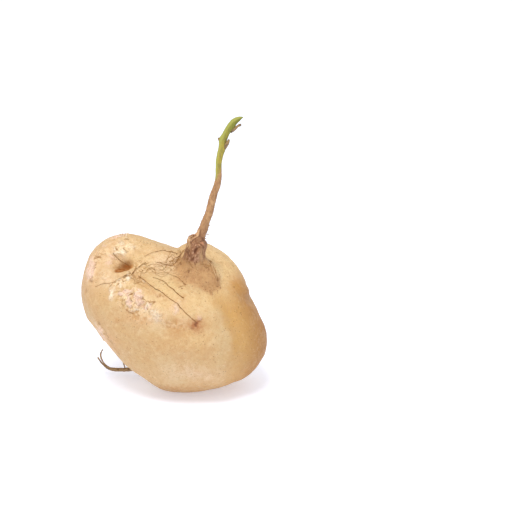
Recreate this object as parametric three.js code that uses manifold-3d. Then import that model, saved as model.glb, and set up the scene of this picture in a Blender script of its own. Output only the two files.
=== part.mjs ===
// A jicama: one lobed tuber lying on its side lobe, with the corky neck and the cut length of
// vine stem that it grew from, its leaf-stalk stubs, a woody side root and thin feeder roots.
// Millimetres, +Z up, X along the tuber's width. The origin is on the flat patch of skin that the
// tuber rests on, close to its middle.

import * as THREE from 'three';
import { mergeVertices } from 'three/addons/utils/BufferGeometryUtils.js';
import Module from 'manifold-3d';

const wasm = await Module();
wasm.setup();

// ---- driving dimensions ----

const LEAN = THREE.MathUtils.degToRad(17); // the broad front of the tuber leans back by this angle
const MIDDLE = new THREE.Vector3(-8, -2, 48.2); // the tuber's middle, over the resting patch
const FRONT_DEPTH = 47; // middle to the front of the belly, before its swellings
const BACK_DEPTH = 49; // middle to the back
const BOXINESS = 2.25; // 2 is an ellipsoid, more is squarer
const ROUNDING = THREE.MathUtils.degToRad(24); // corners of the outline are lost over this turn inwards
const SKIN_DETAIL = 19; // each edge of the icosahedron is cut into this many + 1 lengths

const NECK_HEIGHT = 25; // from the skin to the neck's rounded top
const NECK_SHOULDER = 19; // the height at which its top begins to round over
const NECK_RADIUS = 6.2; // at the shoulder
const NECK_FLARE = 8.5; // how much wider it is where it meets the skin
const NECK_FLARE_LENGTH = 8; // the height over which most of the flare is lost
const NECK_LEAN = THREE.MathUtils.degToRad(12); // towards the front
const NECK_BLEND = 6; // width of the hollow where the neck runs into the skin
const NECK_ROOT = 16; // how far the neck goes on inside the tuber

const STEM_SIDES = 14;
const ROOT_SIDES = 8;
const FEEDER_SIDES = 6;
const STEM_STEP = 2; // length of one straight stretch of the stem and of the side root
const FEEDER_STEP = 2.2;
const STUB_STEP = 1;
const FEEDER_RADIUS = 0.45;
const FEEDER_CLEARANCE = 0.2; // more than GAP, because the skin's facets bulge between their corners

const GAP = 0.3; // clear space between pieces that grew out of each other

// The tuber's outline seen square on to its broad front: [across, up] from its middle.
const OUTLINE = [
  [0, 44.3], [-16.5, 49.8], [-30, 53.2], [-42, 51.3], [-53, 42.3], [-59.3, 27], [-60.3, 12],
  [-56.2, -1.5], [-45.2, -16], [-38.2, -24.3], [-32, -32], [-21.5, -39.5], [-9, -48], [7, -50.2],
  [28, -47], [47.5, -39.5], [58, -26], [59.6, -12], [53.5, 3], [48.8, 11.5], [44.8, 24.5], [34.5, 38.5],
  [19, 47.5],
];

// Swellings and hollows of the skin. Each runs from one place on the skin to another, reaches
// `reach` to each side, and rises or sinks by `rise`. Places are [across, up] on the front or back.
const RELIEF = [
  { face: 'front', from: [-12, 37], to: [28, 31], reach: 20, rise: -8 }, // flat crown round the neck
  { face: 'front', from: [-38.8, 36.5], to: [-36.2, 36.5], reach: 5.5, rise: -9.5 }, // navel
  { face: 'front', from: [-38, 28], to: [-32, 28.5], reach: 5, rise: 2 }, // lip under the navel
  { face: 'front', from: [-26, 35], to: [-4, 40], reach: 9, rise: -2.2 }, // valley, navel to neck
  { face: 'front', from: [-50, 20], to: [-48, 5], reach: 14, rise: 2 }, // left cheek
  { face: 'front', from: [-15, 12], to: [5, -10], reach: 20, rise: 3 }, // belly
  { face: 'front', from: [26, 4], to: [26, -34], reach: 9, rise: 2.2 }, // ridge down its right
  { face: 'front', from: [50, 11], to: [45, 12.5], reach: 3.5, rise: -1.6 }, // crease over the right lobe
  { face: 'front', from: [4, -8], to: [-4, -10], reach: 8, rise: -1.4 }, // hollow beside the root scar
  { face: 'front', from: [40, 30], to: [34, 20], reach: 12, rise: 2 }, // right shoulder
  { face: 'back', from: [-8, 40], to: [-14, -20], reach: 10, rise: -4 }, // furrow between back lobes
  { face: 'back', from: [32, 30], to: [31, -6], reach: 9, rise: -3.2 }, // second furrow
  { face: 'back', from: [-40, 18], to: [-36, 0], reach: 18, rise: 1 }, // left back lobe
  { face: 'back', from: [10, 16], to: [10, -14], reach: 14, rise: 3 }, // middle back lobe
  { face: 'back', from: [46, 2], to: [38, -24], reach: 16, rise: 3 }, // right back lobe
];

// The vine stem from the neck to its shoot tip: [x, y, z, radius].
const STEM = [
  [7.4, -24.2, 101.2, 3.8], [8.2, -25.2, 104.7, 3.8], [9.1, -25.9, 107.8, 3.5],
  [10.4, -26.5, 111, 3], [11.8, -26.7, 114.2, 2.6], [13.1, -26.5, 118.2, 2.35],
  [15.1, -25.5, 123.4, 2.3], [16.6, -24.2, 129.2, 2.25], [18.1, -22.9, 135, 2.2],
  [20.2, -21.6, 140.4, 2.1], [21.2, -20.4, 146.2, 1.95], [21.2, -19.4, 152.2, 1.9],
  [21.7, -18.7, 157.2, 1.95], [23.1, -17.8, 163.4, 2.1], [24, -17.2, 168.2, 2.25],
  [25.9, -16.7, 172.6, 2.1], [28.2, -16.2, 176.6, 2.1], [30.9, -15.8, 180, 1.9],
  [33.7, -15.5, 181.9, 1.2], [36.4, -15.3, 182.9, 0.25],
];

// What is left of the leaf stalks and scales at the stem's two nodes.
const PETIOLE_STUB_LOW = [
  [23.6, -17.6, 162.8, 1.5], [25.6, -18.3, 165.4, 1.25],
  [27.1, -18.5, 167.6, 0.85], [27.8, -18.6, 169.4, 0.45],
];
const PETIOLE_STUB_HIGH = [
  [27.2, -16.4, 173.8, 1.3], [30, -16.6, 174.9, 1.1], [32, -16.8, 176.4, 0.85],
  [33.6, -16.9, 177.9, 0.6], [35.3, -16.9, 178.5, 0.7],
];
const SCALE_LOW = [[24.2, -17.2, 167.4, 1.2], [22.5, -17, 168.6, 1], [21.2, -16.9, 169.8, 0.45]];

// The woody side root that leaves the tuber low on its left, its fork and a rootlet.
const TAIL_ROOT = [
  [-22, 12, 8.7, 2.2], [-30, 14.8, 5.8, 1.6], [-38, 16, 4.1, 1.3], [-42.6, 16, 3.8, 1.25],
  [-47.7, 16, 3.8, 1.2], [-52.3, 16, 4.4, 1.1], [-55.3, 16, 5.9, 0.95], [-57.8, 16.2, 8.5, 0.8],
  [-59.3, 16.4, 10.6, 0.65], [-60.5, 16.5, 12.3, 0.4],
];
const TAIL_ROOT_FORK = [
  [-52.4, 15.8, 4.6, 0.9], [-54.2, 14.2, 6.6, 0.8], [-56.2, 13.5, 8.8, 0.7], [-57.4, 13.2, 11.3, 0.6],
  [-58.2, 12.9, 14.2, 0.55], [-58.1, 12.5, 16.8, 0.5], [-56.5, 12, 19.6, 0.3],
];
const TAIL_ROOTLET = [[-42.4, 16, 4, 0.5], [-42.8, 15.6, 6.6, 0.45], [-43.8, 15.3, 9.6, 0.25]];

// Thread-like feeder roots that lie on the skin, by the places that they pass on the front.
const FEEDER_ROOTS = [
  [[-21.7, 25.8], [-15, 21.2], [-11, 17.8], [-7.4, 16.3], [-2, 12.3], [2.5, 9], [6.1, 5.6], [14.5, -2.3]],
  [[-12.4, 24.9], [-6.4, 22.4], [-0.9, 18.6], [2.6, 15.6], [7.2, 12]],
  [[-10.5, 34.1], [-5.7, 33], [-1.3, 32.3], [0.9, 33.5], [3, 35.9], [4, 37.6]],
  [[-0.5, 40.9], [-3.5, 41.1], [-8.8, 41.5], [-14.1, 39.9], [-18.5, 37.9]],
  [[-25.9, 26.5], [-22.4, 30.9], [-20, 32.8], [-17.7, 33.8]],
  [[-9.3, 30.6], [-3.5, 27.4], [-0.5, 26.3], [3.3, 24.4], [8, 20.8]],
  [[-49.5, 19], [-43.2, 20.9], [-37.2, 22], [-33.2, 24.4], [-29.5, 25.6]],
  [[-38.3, 40.3], [-35, 36.6], [-31.5, 34], [-28.8, 32.6]],
  [[23.5, 34.2], [25.4, 31.6], [27.3, 27.6], [28.8, 22.5]],
];

// ---- the tuber's own directions ----

const ACROSS = new THREE.Vector3(1, 0, 0);
const UP_FACE = new THREE.Vector3(0, Math.sin(LEAN), Math.cos(LEAN));
const OUT_OF_FACE = new THREE.Vector3(0, -Math.cos(LEAN), Math.sin(LEAN));

// A place in the model from its place in the tuber's own frame.
function fromTuber(across, up, out) {
  return MIDDLE.clone()
    .addScaledVector(ACROSS, across)
    .addScaledVector(UP_FACE, up)
    .addScaledVector(OUT_OF_FACE, out);
}

// ---- the skin as a distance from the middle ----

// Distance from the middle to the outline, for each direction across the broad front.
const outlineRadius = (() => {
  const loop = new THREE.CatmullRomCurve3(
    OUTLINE.map(([across, up]) => new THREE.Vector3(across, up, 0)), true, 'centripetal');
  const turns = loop.getPoints(720)
    .map((p) => ({ angle: Math.atan2(p.y, p.x), radius: Math.hypot(p.x, p.y) }))
    .sort((a, b) => a.angle - b.angle);
  const first = { ...turns[0], angle: turns[0].angle + 2 * Math.PI };
  const last = { ...turns.at(-1), angle: turns.at(-1).angle - 2 * Math.PI };
  const ring = [last, ...turns, first];
  return (angle) => {
    const turn = THREE.MathUtils.euclideanModulo(angle + Math.PI, 2 * Math.PI) - Math.PI;
    const next = ring.findIndex((spot) => spot.angle > turn);
    const [a, b] = [ring[next - 1], ring[next]];
    return THREE.MathUtils.mapLinear(turn, a.angle, b.angle, a.radius, b.radius);
  };
})();

// The same with its corners rounded off, as the body is away from its outline.
const roundedRadius = (() => {
  const table = Array.from({ length: 361 }, (_, degree) => {
    const angle = THREE.MathUtils.degToRad(degree - 180);
    const shares = [-1, -0.75, -0.5, -0.25, 0, 0.25, 0.5, 0.75, 1];
    const total = shares.reduce((sum, share) => sum + outlineRadius(angle + share * ROUNDING), 0);
    return total / shares.length;
  });
  return (angle) => {
    const degree = THREE.MathUtils.radToDeg(angle) + 180;
    const before = Math.min(Math.floor(degree), table.length - 2);
    return THREE.MathUtils.lerp(table[before], table[before + 1], degree - before);
  };
})();

// The plain, unswollen body: distance from the middle along a unit direction.
function plainRadius(across, up, out) {
  const turn = Math.atan2(up, across);
  const inwards = THREE.MathUtils.smoothstep(Math.abs(out), 0, 0.6);
  const width = THREE.MathUtils.lerp(outlineRadius(turn), roundedRadius(turn), inwards);
  const flat = Math.hypot(across, up) / width;
  const deep = Math.abs(out) / (out > 0 ? FRONT_DEPTH : BACK_DEPTH);
  return (flat ** BOXINESS + deep ** BOXINESS) ** (-1 / BOXINESS);
}

// A place on the plain body's front or back, over a point of its broad front.
function plainPlace([across, up], face) {
  const flat = Math.hypot(across, up) / roundedRadius(Math.atan2(up, across));
  const share = Math.max(0, 1 - flat ** BOXINESS) ** (1 / BOXINESS);
  return new THREE.Vector3(across, up, face === 'front' ? share * FRONT_DEPTH : -share * BACK_DEPTH);
}

const relief = RELIEF.map(({ face, from, to, reach, rise }) => ({
  line: new THREE.Line3(plainPlace(from, face), plainPlace(to, face)),
  reach,
  rise,
}));

// The body with its swellings and hollows, along a unit direction of the tuber's own frame.
function bodyRadius(direction) {
  const radius = plainRadius(direction.x, direction.y, direction.z);
  const place = direction.clone().multiplyScalar(radius);
  const nearest = new THREE.Vector3();
  return relief.reduce((sum, { line, reach, rise }) => {
    line.closestPointToPoint(place, true, nearest);
    return sum + rise * Math.exp(-((nearest.distanceTo(place) / reach) ** 2));
  }, radius);
}

// ---- the neck ----

const neckBase = new THREE.Vector3(15.2, 28.5, 28); // in the tuber's own frame
const neckAxis = (() => {
  const tilt = NECK_LEAN + LEAN; // measured from the broad front
  return new THREE.Vector3(0.01, Math.cos(tilt), Math.sin(tilt)).normalize();
})();

// How far a place in the tuber's own frame lies outside the neck.
function outsideNeck(place) {
  const offset = place.clone().sub(neckBase);
  const height = offset.dot(neckAxis);
  const side = offset.addScaledVector(neckAxis, -height);
  const turn = Math.atan2(side.x, side.z);
  const knobbly = 1 + 0.07 * Math.cos(3 * turn + 0.12 * height) + 0.04 * Math.cos(5 * turn + 1);
  const flare = NECK_FLARE * Math.exp(-Math.max(height, 0) / NECK_FLARE_LENGTH);
  const radius = (NECK_RADIUS + flare) * knobbly;
  const roundOver = Math.max(height - NECK_SHOULDER, 0) / (NECK_HEIGHT - NECK_SHOULDER);
  return Math.max(Math.hypot(side.length(), roundOver * radius) - radius, -NECK_ROOT - height);
}

function smoothUnion(a, b, width) {
  const overlap = Math.max(width - Math.abs(a - b), 0) / width;
  return Math.min(a, b) - (overlap * overlap * width) / 4;
}

// How far a place in the tuber's own frame lies outside the skin, neck included.
function outsideSkin(place) {
  const distance = place.length();
  const body = distance - bodyRadius(place.clone().divideScalar(distance));
  return smoothUnion(body, outsideNeck(place), NECK_BLEND);
}

// Steps inwards along a line until the skin is met, then closes in on it.
function meetSkin(origin, direction, farthest) {
  const at = (t) => origin.clone().addScaledVector(direction, t);
  let outer = farthest;
  while (outsideSkin(at(outer - 1)) > 0) outer -= 1;
  let inner = outer - 1;
  for (let halving = 0; halving < 20; halving += 1) {
    const half = (inner + outer) / 2;
    if (outsideSkin(at(half)) > 0) outer = half;
    else inner = half;
  }
  return at(inner);
}

// ---- the tuber's mesh ----

// Directions are drawn together at the neck and at the navel, where the skin bends most.
const CROWDED = [
  { toward: new THREE.Vector3(10, 37, 28), pull: 0.6, spread: 0.6 },
  { toward: new THREE.Vector3(-36, 34, 26), pull: 0.5, spread: 0.4 },
  { toward: new THREE.Vector3(-25, 15, 40), pull: 0.25, spread: 0.9 },
];
const STAR_CENTRE = new THREE.Vector3(6, 2, 8); // every part of the skin can be seen from here

function crowd(direction) {
  const moved = direction.clone();
  for (const { toward, pull, spread } of CROWDED) {
    const offset = toward.clone().normalize().sub(direction);
    moved.addScaledVector(offset, pull * Math.exp(-offset.lengthSq() / spread ** 2));
  }
  return moved.normalize();
}

function tuberGeometry() {
  const geometry = weld(new THREE.IcosahedronGeometry(1, SKIN_DETAIL));
  const position = geometry.attributes.position;
  const vertex = new THREE.Vector3();
  for (let i = 0; i < position.count; i += 1) {
    vertex.fromBufferAttribute(position, i);
    const skin = meetSkin(STAR_CENTRE, crowd(vertex), 110);
    const place = fromTuber(skin.x, skin.y, skin.z);
    position.setXYZ(i, place.x, place.y, Math.max(place.z, 0)); // its weight flattens the underside
  }
  return geometry;
}

// ---- stems and roots ----

// The radius at a share of the line's length, between the radii given at its points.
function radiusAlong(points, line, share) {
  const spot = line.getUtoTmapping(share) * (points.length - 1);
  const before = Math.min(Math.floor(spot), points.length - 2);
  return THREE.MathUtils.lerp(points[before][3], points[before + 1][3], spot - before);
}

// A round stem or root along a smooth line through `points`, each [x, y, z, radius].
function taperedTube(points, sides, spacing) {
  const line = new THREE.CatmullRomCurve3(points.map(([x, y, z]) => new THREE.Vector3(x, y, z)));
  const steps = Math.max(3, Math.round(line.getLength() / spacing));
  const corners = Array.from({ length: sides }, (_, side) => {
    const turn = (2 * Math.PI * side) / sides;
    return new THREE.Vector2(Math.cos(turn), Math.sin(turn));
  });
  const section = new THREE.Shape(corners);
  const tube = new THREE.ExtrudeGeometry(section, { steps, extrudePath: line, bevelEnabled: false });
  const geometry = weld(tube);
  const centres = line.getSpacedPoints(steps);
  const position = geometry.attributes.position;
  const vertex = new THREE.Vector3();
  for (let i = 0; i < position.count; i += 1) {
    vertex.fromBufferAttribute(position, i);
    const distances = centres.map((centre) => centre.distanceToSquared(vertex));
    const ring = distances.indexOf(Math.min(...distances));
    const radius = radiusAlong(points, line, ring / steps);
    vertex.sub(centres[ring]).multiplyScalar(radius).add(centres[ring]);
    position.setXYZ(i, vertex.x, vertex.y, vertex.z);
  }
  return geometry;
}

// A feeder root lying on the skin over `places`, thinning towards both ends.
function feederRoot(places) {
  const points = places.map(([across, up], index) => {
    const share = index / (places.length - 1);
    const radius = FEEDER_RADIUS * (0.45 + 0.55 * Math.sin(Math.PI * (0.15 + 0.75 * share)));
    const skin = meetSkin(new THREE.Vector3(across, up, 0), new THREE.Vector3(0, 0, 1), 70);
    skin.addScaledVector(skinNormal(skin), radius + GAP + FEEDER_CLEARANCE);
    const place = fromTuber(skin.x, skin.y, skin.z);
    return [place.x, place.y, place.z, radius];
  });
  return taperedTube(points, FEEDER_SIDES, FEEDER_STEP);
}

// A loose flake of cork that stands away from the top of the neck, ragged at its end.
function barkFlake() {
  const leaf = new THREE.Shape();
  leaf.moveTo(0, -2);
  leaf.quadraticCurveTo(3, -2.4, 6.6, -0.8);
  leaf.lineTo(5.6, 0.1);
  leaf.lineTo(6.2, 1.2);
  leaf.quadraticCurveTo(3, 1.8, 0, 2.4);
  const flat = new THREE.ExtrudeGeometry(leaf, { depth: 0.8, bevelEnabled: false, curveSegments: 4 });
  const along = new THREE.Vector3(-0.95, -0.15, 0.05).normalize();
  const outward = new THREE.Vector3(-0.12, -0.4, 0.9).normalize();
  const across = outward.clone().cross(along).normalize();
  const placed = new THREE.Matrix4().makeBasis(along, across, along.clone().cross(across));
  return weld(flat).applyMatrix4(placed.setPosition(8.2, -27.4, 108.8));
}

// ---- solids ----

// One mesh with shared corners and nothing but their positions.
function weld(geometry) {
  geometry.deleteAttribute('normal');
  geometry.deleteAttribute('uv');
  return mergeVertices(geometry, 1e-4);
}

// The direction straight out of the skin at a place in the tuber's own frame.
function skinNormal(place) {
  const step = 0.2;
  const steps = [new THREE.Vector3(step, 0, 0), new THREE.Vector3(0, step, 0), new THREE.Vector3(0, 0, step)];
  const slope = steps.map((way) => outsideSkin(place.clone().add(way)) - outsideSkin(place.clone().sub(way)));
  return new THREE.Vector3(...slope).normalize();
}

function solidOf(geometry) {
  const vertProperties = new Float32Array(geometry.attributes.position.array);
  const triVerts = new Uint32Array(geometry.index.array);
  return new wasm.Manifold(new wasm.Mesh({ numProp: 3, vertProperties, triVerts }));
}

function geometryOf(solid) {
  const { vertProperties, triVerts } = solid.getMesh();
  const geometry = new THREE.BufferGeometry();
  geometry.setAttribute('position', new THREE.BufferAttribute(vertProperties, 3));
  geometry.setIndex(new THREE.BufferAttribute(triVerts, 1));
  return geometry;
}

// The same shape with its surface moved out by GAP.
function grown(geometry) {
  const copy = geometry.clone();
  copy.computeVertexNormals();
  const { position, normal } = copy.attributes;
  for (let i = 0; i < position.count; i += 1) {
    position.setXYZ(i, position.getX(i) + normal.getX(i) * GAP, position.getY(i) + normal.getY(i) * GAP,
      position.getZ(i) + normal.getZ(i) * GAP);
  }
  return copy;
}

// A piece cut back so that it stays clear of what it grew out of.
function clearOf(geometry, ...neighbours) {
  const cutBack = (solid, neighbour) => solid.subtract(solidOf(grown(neighbour)));
  return geometryOf(neighbours.reduce(cutBack, solidOf(geometry)));
}

// ---- the jicama ----

const MATERIALS = {
  skin: new THREE.MeshStandardMaterial({ color: '#e2bd88', roughness: 0.5, metalness: 0 }),
  bark: new THREE.MeshStandardMaterial({ color: '#b08a62', roughness: 0.8, metalness: 0 }),
  root: new THREE.MeshStandardMaterial({ color: '#85674a', roughness: 0.8, metalness: 0 }),
};

const jicama = new THREE.Group();

function add(name, geometry, material) {
  const mesh = new THREE.Mesh(geometry, material);
  mesh.name = name;
  jicama.add(mesh);
}

const tuber = tuberGeometry();
const stem = clearOf(taperedTube(STEM, STEM_SIDES, STEM_STEP), tuber);
const tailRoot = clearOf(taperedTube(TAIL_ROOT, ROOT_SIDES, STEM_STEP), tuber);

add('tuber', tuber, MATERIALS.skin);
add('stem', stem, MATERIALS.bark);
for (const [name, points] of [
  ['petiole_stub_low', PETIOLE_STUB_LOW],
  ['petiole_stub_high', PETIOLE_STUB_HIGH],
  ['scale_low', SCALE_LOW],
]) {
  add(name, clearOf(taperedTube(points, ROOT_SIDES, STUB_STEP), stem), MATERIALS.bark);
}
add('bark_flake', clearOf(barkFlake(), tuber, stem), MATERIALS.bark);
add('tail_root', tailRoot, MATERIALS.root);
for (const [name, points] of [['tail_root_fork', TAIL_ROOT_FORK], ['tail_rootlet', TAIL_ROOTLET]]) {
  add(name, clearOf(taperedTube(points, FEEDER_SIDES, STEM_STEP), tailRoot, tuber), MATERIALS.root);
}
FEEDER_ROOTS.forEach((places, index) => {
  add(`feeder_root_${index + 1}`, feederRoot(places), MATERIALS.root);
});

export default jicama;
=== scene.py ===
import math
from types import SimpleNamespace

import bmesh
import bpy
import numpy as np
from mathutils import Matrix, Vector, noise
from mathutils.bvhtree import BVHTree


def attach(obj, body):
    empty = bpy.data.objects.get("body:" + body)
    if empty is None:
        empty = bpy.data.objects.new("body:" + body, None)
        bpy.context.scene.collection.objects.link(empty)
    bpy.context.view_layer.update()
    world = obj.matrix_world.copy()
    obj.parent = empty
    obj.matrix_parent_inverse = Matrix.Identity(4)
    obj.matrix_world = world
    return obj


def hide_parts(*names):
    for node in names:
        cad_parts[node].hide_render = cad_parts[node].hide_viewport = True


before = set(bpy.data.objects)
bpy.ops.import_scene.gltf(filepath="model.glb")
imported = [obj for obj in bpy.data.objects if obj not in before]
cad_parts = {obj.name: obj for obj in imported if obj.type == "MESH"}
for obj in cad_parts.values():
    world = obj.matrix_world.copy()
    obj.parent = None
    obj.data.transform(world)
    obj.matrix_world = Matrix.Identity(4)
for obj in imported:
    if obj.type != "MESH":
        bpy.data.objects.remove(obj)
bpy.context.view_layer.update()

# A jicama: one lopsided tuber with a corky neck, the vine stem that grows from it, a thin tail
# root behind it, and the dry feeder roots that lie on its skin.

MM = 0.001

# ---------------------------------------------------------------- the tuber's own directions
# The tuber leans back on its rest. Places on it are given in millimetres across its face,
# up its face and out of its face, from its middle.

LEAN = math.radians(17)
MIDDLE = np.array([-8, -2, 48.2])
ACROSS = np.array([1, 0, 0])
UP_FACE = np.array([0, math.sin(LEAN), math.cos(LEAN)])
OUT_OF_FACE = np.array([0, -math.cos(LEAN), math.sin(LEAN)])
NECK_FOOT = np.array([7.2, -20.4, 83.6])
NECK_TOP = np.array([7.2, -25.4, 107])


def from_face(across, up, out):
    """The place in the frame, in metres, of a place on the tuber."""
    return (MIDDLE + across * ACROSS + up * UP_FACE + out * OUT_OF_FACE) * MM


def on_face(points):
    """Columns of millimetres across, up and out of the face, for places in the frame."""
    away = points / MM - MIDDLE
    return np.stack([away @ ACROSS, away @ UP_FACE, away @ OUT_OF_FACE], 1)


def unit(way):
    return way / np.linalg.norm(way)


def rise(low, high, values):
    """0 below low, 1 above high, and a smooth rise between them."""
    t = np.clip((values - low) / (high - low), 0, 1)
    return t * t * (3 - 2 * t)


def fall(low, high, values):
    """1 below low, 0 above high, and a smooth fall between them."""
    return 1 - rise(low, high, values)


def bell(values, width, middle=0.0):
    """1 at the middle, and a smooth fall to 0 past the width on both sides."""
    return np.exp(-((values - middle) / width) ** 2)


def follow(rows, given, wanted, values):
    """One column of the rows at those values of another, which rises from row to row."""
    return np.interp(values, [row[given] for row in rows], [row[wanted] for row in rows])


def grain(points, size, octaves=3, seed=0.0, stretch=(1, 1, 1), fade=1.0, finer=2.0):
    """Soft noise from about -1 to 1 at each point, with lumps about size millimetres apart."""
    places = points / MM / size * np.array(stretch) + seed
    return np.array([noise.fractal(Vector(p), fade, finer, octaves) for p in places])


def creases(points, size, octaves=3, seed=0.0, stretch=(1, 1, 1)):
    """Noise from 0 to about 1 with sharp ridges, for wrinkles and cracked bark."""
    return 1 - np.clip(np.abs(grain(points, size, octaves, seed, stretch, 0.8, 2.1)) * 2.2, 0, 1)


# ---------------------------------------------------------------- meshes

# How close two corners are when they are joined (mm), and how often a CAD piece is subdivided.
WELD = 0.002
FINER_LEVELS = 2


def add_object(name, data):
    """A new object in the scene, which holds this mesh, lamp or camera."""
    made = bpy.data.objects.new(name, data)
    bpy.context.scene.collection.objects.link(made)
    return made


def new_piece(name, mesh, slot, *nodes):
    """A shown piece on the one body, in place of those CAD nodes."""
    piece = add_object(name, mesh)
    for face in mesh.polygons:
        face.use_smooth = True
    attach(piece, "root")
    if nodes:
        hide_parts(*nodes)
    return piece


def read(mesh, what="co"):
    """A row for each vertex: its place, or its normal."""
    values = np.zeros(len(mesh.vertices) * 3)
    mesh.vertices.foreach_get(what, values)
    return values.reshape(-1, 3)


def write_points(mesh, points):
    mesh.vertices.foreach_set("co", points.ravel())
    mesh.update()


def keep_marks(mesh, **marks):
    """Shares from 0 to 1 at each vertex, which the materials read by these names."""
    for name, values in marks.items():
        attribute = mesh.attributes.new(name, "FLOAT", "POINT")
        attribute.data.foreach_set("value", np.clip(values, 0, 1).astype(np.float32))


def finer_copy(node):
    """The mesh of a CAD node, joined into one closed skin and subdivided."""
    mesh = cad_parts[node].data.copy()
    mesh.materials.clear()
    shell = bmesh.new()
    shell.from_mesh(mesh)
    bmesh.ops.remove_doubles(shell, verts=shell.verts, dist=WELD * MM)
    shell.to_mesh(mesh)
    shell.free()
    holder = add_object("holder", mesh)
    holder.modifiers.new("finer", "SUBSURF").levels = FINER_LEVELS
    bpy.context.view_layer.update()
    seen = holder.evaluated_get(bpy.context.evaluated_depsgraph_get())
    result = bpy.data.meshes.new_from_object(seen)
    bpy.data.objects.remove(holder)
    return result


# The first steps of a smooth line, as a share of the way from one knot to the next.
SPLINE_STEP = 0.05


def smooth_line(knots, step):
    """Evenly spaced points on a smooth curve through the knots (rows of any width)."""
    knots = np.array(knots, float)
    ends = np.vstack([2 * knots[0] - knots[1], knots, 2 * knots[-1] - knots[-2]])
    line = []
    for a, b, c, d in zip(ends, ends[1:], ends[2:], ends[3:]):
        for t in np.arange(0, 1, SPLINE_STEP):
            line.append(0.5 * (2 * b + (c - a) * t + (2 * a - 5 * b + 4 * c - d) * t**2
                               + (3 * b - a - 3 * c + d) * t**3))
    line = np.array([*line, knots[-1]])
    hops = np.linalg.norm(np.diff(line[:, :3], axis=0), axis=1)
    reach = np.concatenate([[0], np.cumsum(hops)])
    places = np.linspace(0, reach[-1], max(3, int(round(reach[-1] / step)) + 1))
    return np.stack([np.interp(places, reach, column) for column in line.T], 1)


class Tubes:
    """Closed round tubes gathered into one mesh. An end is a point that stands out by CAP of the
    radius, and no tube starts along AWRY."""

    CAP = 0.6
    AWRY = (0.31, 0.52, 0.79)

    def __init__(self):
        self.points, self.faces = [], []

    def add(self, line, radii, sides=6):
        line = np.array(line, float)
        radii = np.broadcast_to(radii, len(line))
        ways = np.gradient(line, axis=0)
        ways /= np.linalg.norm(ways, axis=1)[:, None]
        side = np.cross(ways[0], self.AWRY)
        first = len(self.points)
        self.points.append(line[0] - ways[0] * radii[0] * self.CAP)
        for centre, way, radius in zip(line, ways, radii):
            side = unit(side - way * (side @ way))
            other = np.cross(way, side)
            for turn in np.arange(sides) * 2 * math.pi / sides:
                self.points.append(centre + radius * (math.cos(turn) * side + math.sin(turn) * other))
        self.points.append(line[-1] + ways[-1] * radii[-1] * self.CAP)
        last = len(self.points) - 1
        for j in range(sides):
            nxt = (j + 1) % sides
            self.faces.append((first, first + 1 + nxt, first + 1 + j))
            for low in range(first + 1, last - sides, sides):
                self.faces.append((low + j, low + nxt, low + sides + nxt, low + sides + j))
            top = last - sides
            self.faces.append((top + j, top + nxt, last))

    def mesh(self, name):
        mesh = bpy.data.meshes.new(name)
        mesh.from_pydata([list(p) for p in self.points], [], self.faces)
        mesh.validate()
        return mesh


# ---------------------------------------------------------------- marks on the face


def on_front(place):
    """1 on the front of the tuber, 0 on its back."""
    return rise(-6, 4, place[:, 2])


def near(place, across, up, reach_across, reach_up, turn=0.0):
    """1 at a spot on the front, and a smooth fall to 0 past its reach, turned by some degrees."""
    c, s = math.cos(math.radians(turn)), math.sin(math.radians(turn))
    x, y = place[:, 0] - across, place[:, 1] - up
    away = ((x * c + y * s) / reach_across) ** 2 + ((y * c - x * s) / reach_up) ** 2
    return np.exp(-away) * on_front(place)


def spots(place, rows):
    """The sum of such spots. A row: across, up, both reaches, the turn if there is one, share."""
    return sum(share * near(place, *spot) for *spot, share in rows)


def from_line(place, knots):
    """Each place's distance, on the face, from a line through the knots."""
    knots = np.array(knots, float)
    best = np.full(len(place), 1e9)
    for a, b in zip(knots[:-1], knots[1:]):
        span = b - a
        t = np.clip(((place[:, :2] - a) @ span) / (span @ span), 0, 1)
        best = np.minimum(best, np.linalg.norm(place[:, :2] - a - t[:, None] * span, axis=1))
    return best


def along(place, reach, knots):
    """1 on a line on the front, and a smooth fall to 0 past its reach."""
    return bell(from_line(place, knots), reach) * on_front(place)


def lines(place, rows):
    """The sum of such lines. A row: reach, share, knots."""
    return sum(share * along(place, reach, knots) for reach, share, knots in rows)


def inside_outline(place, knots):
    """How far inside a closed outline on the face each place is, in millimetres (below 0 outside)."""
    closed = np.array([*knots, knots[0]], float)
    away = from_line(place, closed)
    crossed = np.zeros(len(place), bool)
    for (ax, ay), (bx, by) in zip(closed[:-1], closed[1:]):
        if ay != by:
            level = (ay > place[:, 1]) != (by > place[:, 1])
            crossed ^= level & (place[:, 0] < ax + (place[:, 1] - ay) * (bx - ax) / (by - ay))
    return np.where(crossed, away, -away)


# ---------------------------------------------------------------- the skin
# In its tables a place is across and up the face (mm). A spot's row is as spots() takes it and
# a line's row is as lines() takes it.

# The brown corky skin round the foot of the neck, as an outline on the face.
CROWN = [
    (8, 52), (7.4, 45.5), (6, 41.5), (3.6, 36.8), (1, 33), (0.2, 28.6), (1.2, 24), (4.8, 20), (9.6, 17.8),
    (14, 17.2), (17.5, 16.2), (21, 15.2), (24.5, 14.2), (27.5, 15.2), (29.6, 18.2), (29.4, 23), (27.8, 29),
    (23.6, 33.4), (20.6, 37), (20.2, 44), (20, 52),
]

# The near lip of the navel, from its left end to its right end.
NAVEL_LIP = [
    (-41, 28.6), (-38.1, 28), (-35.6, 27.6), (-32.5, 27.9), (-30.4, 28.6), (-28.3, 29.2), (-26.2, 30.3),
    (-24.6, 30.9),
]

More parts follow.
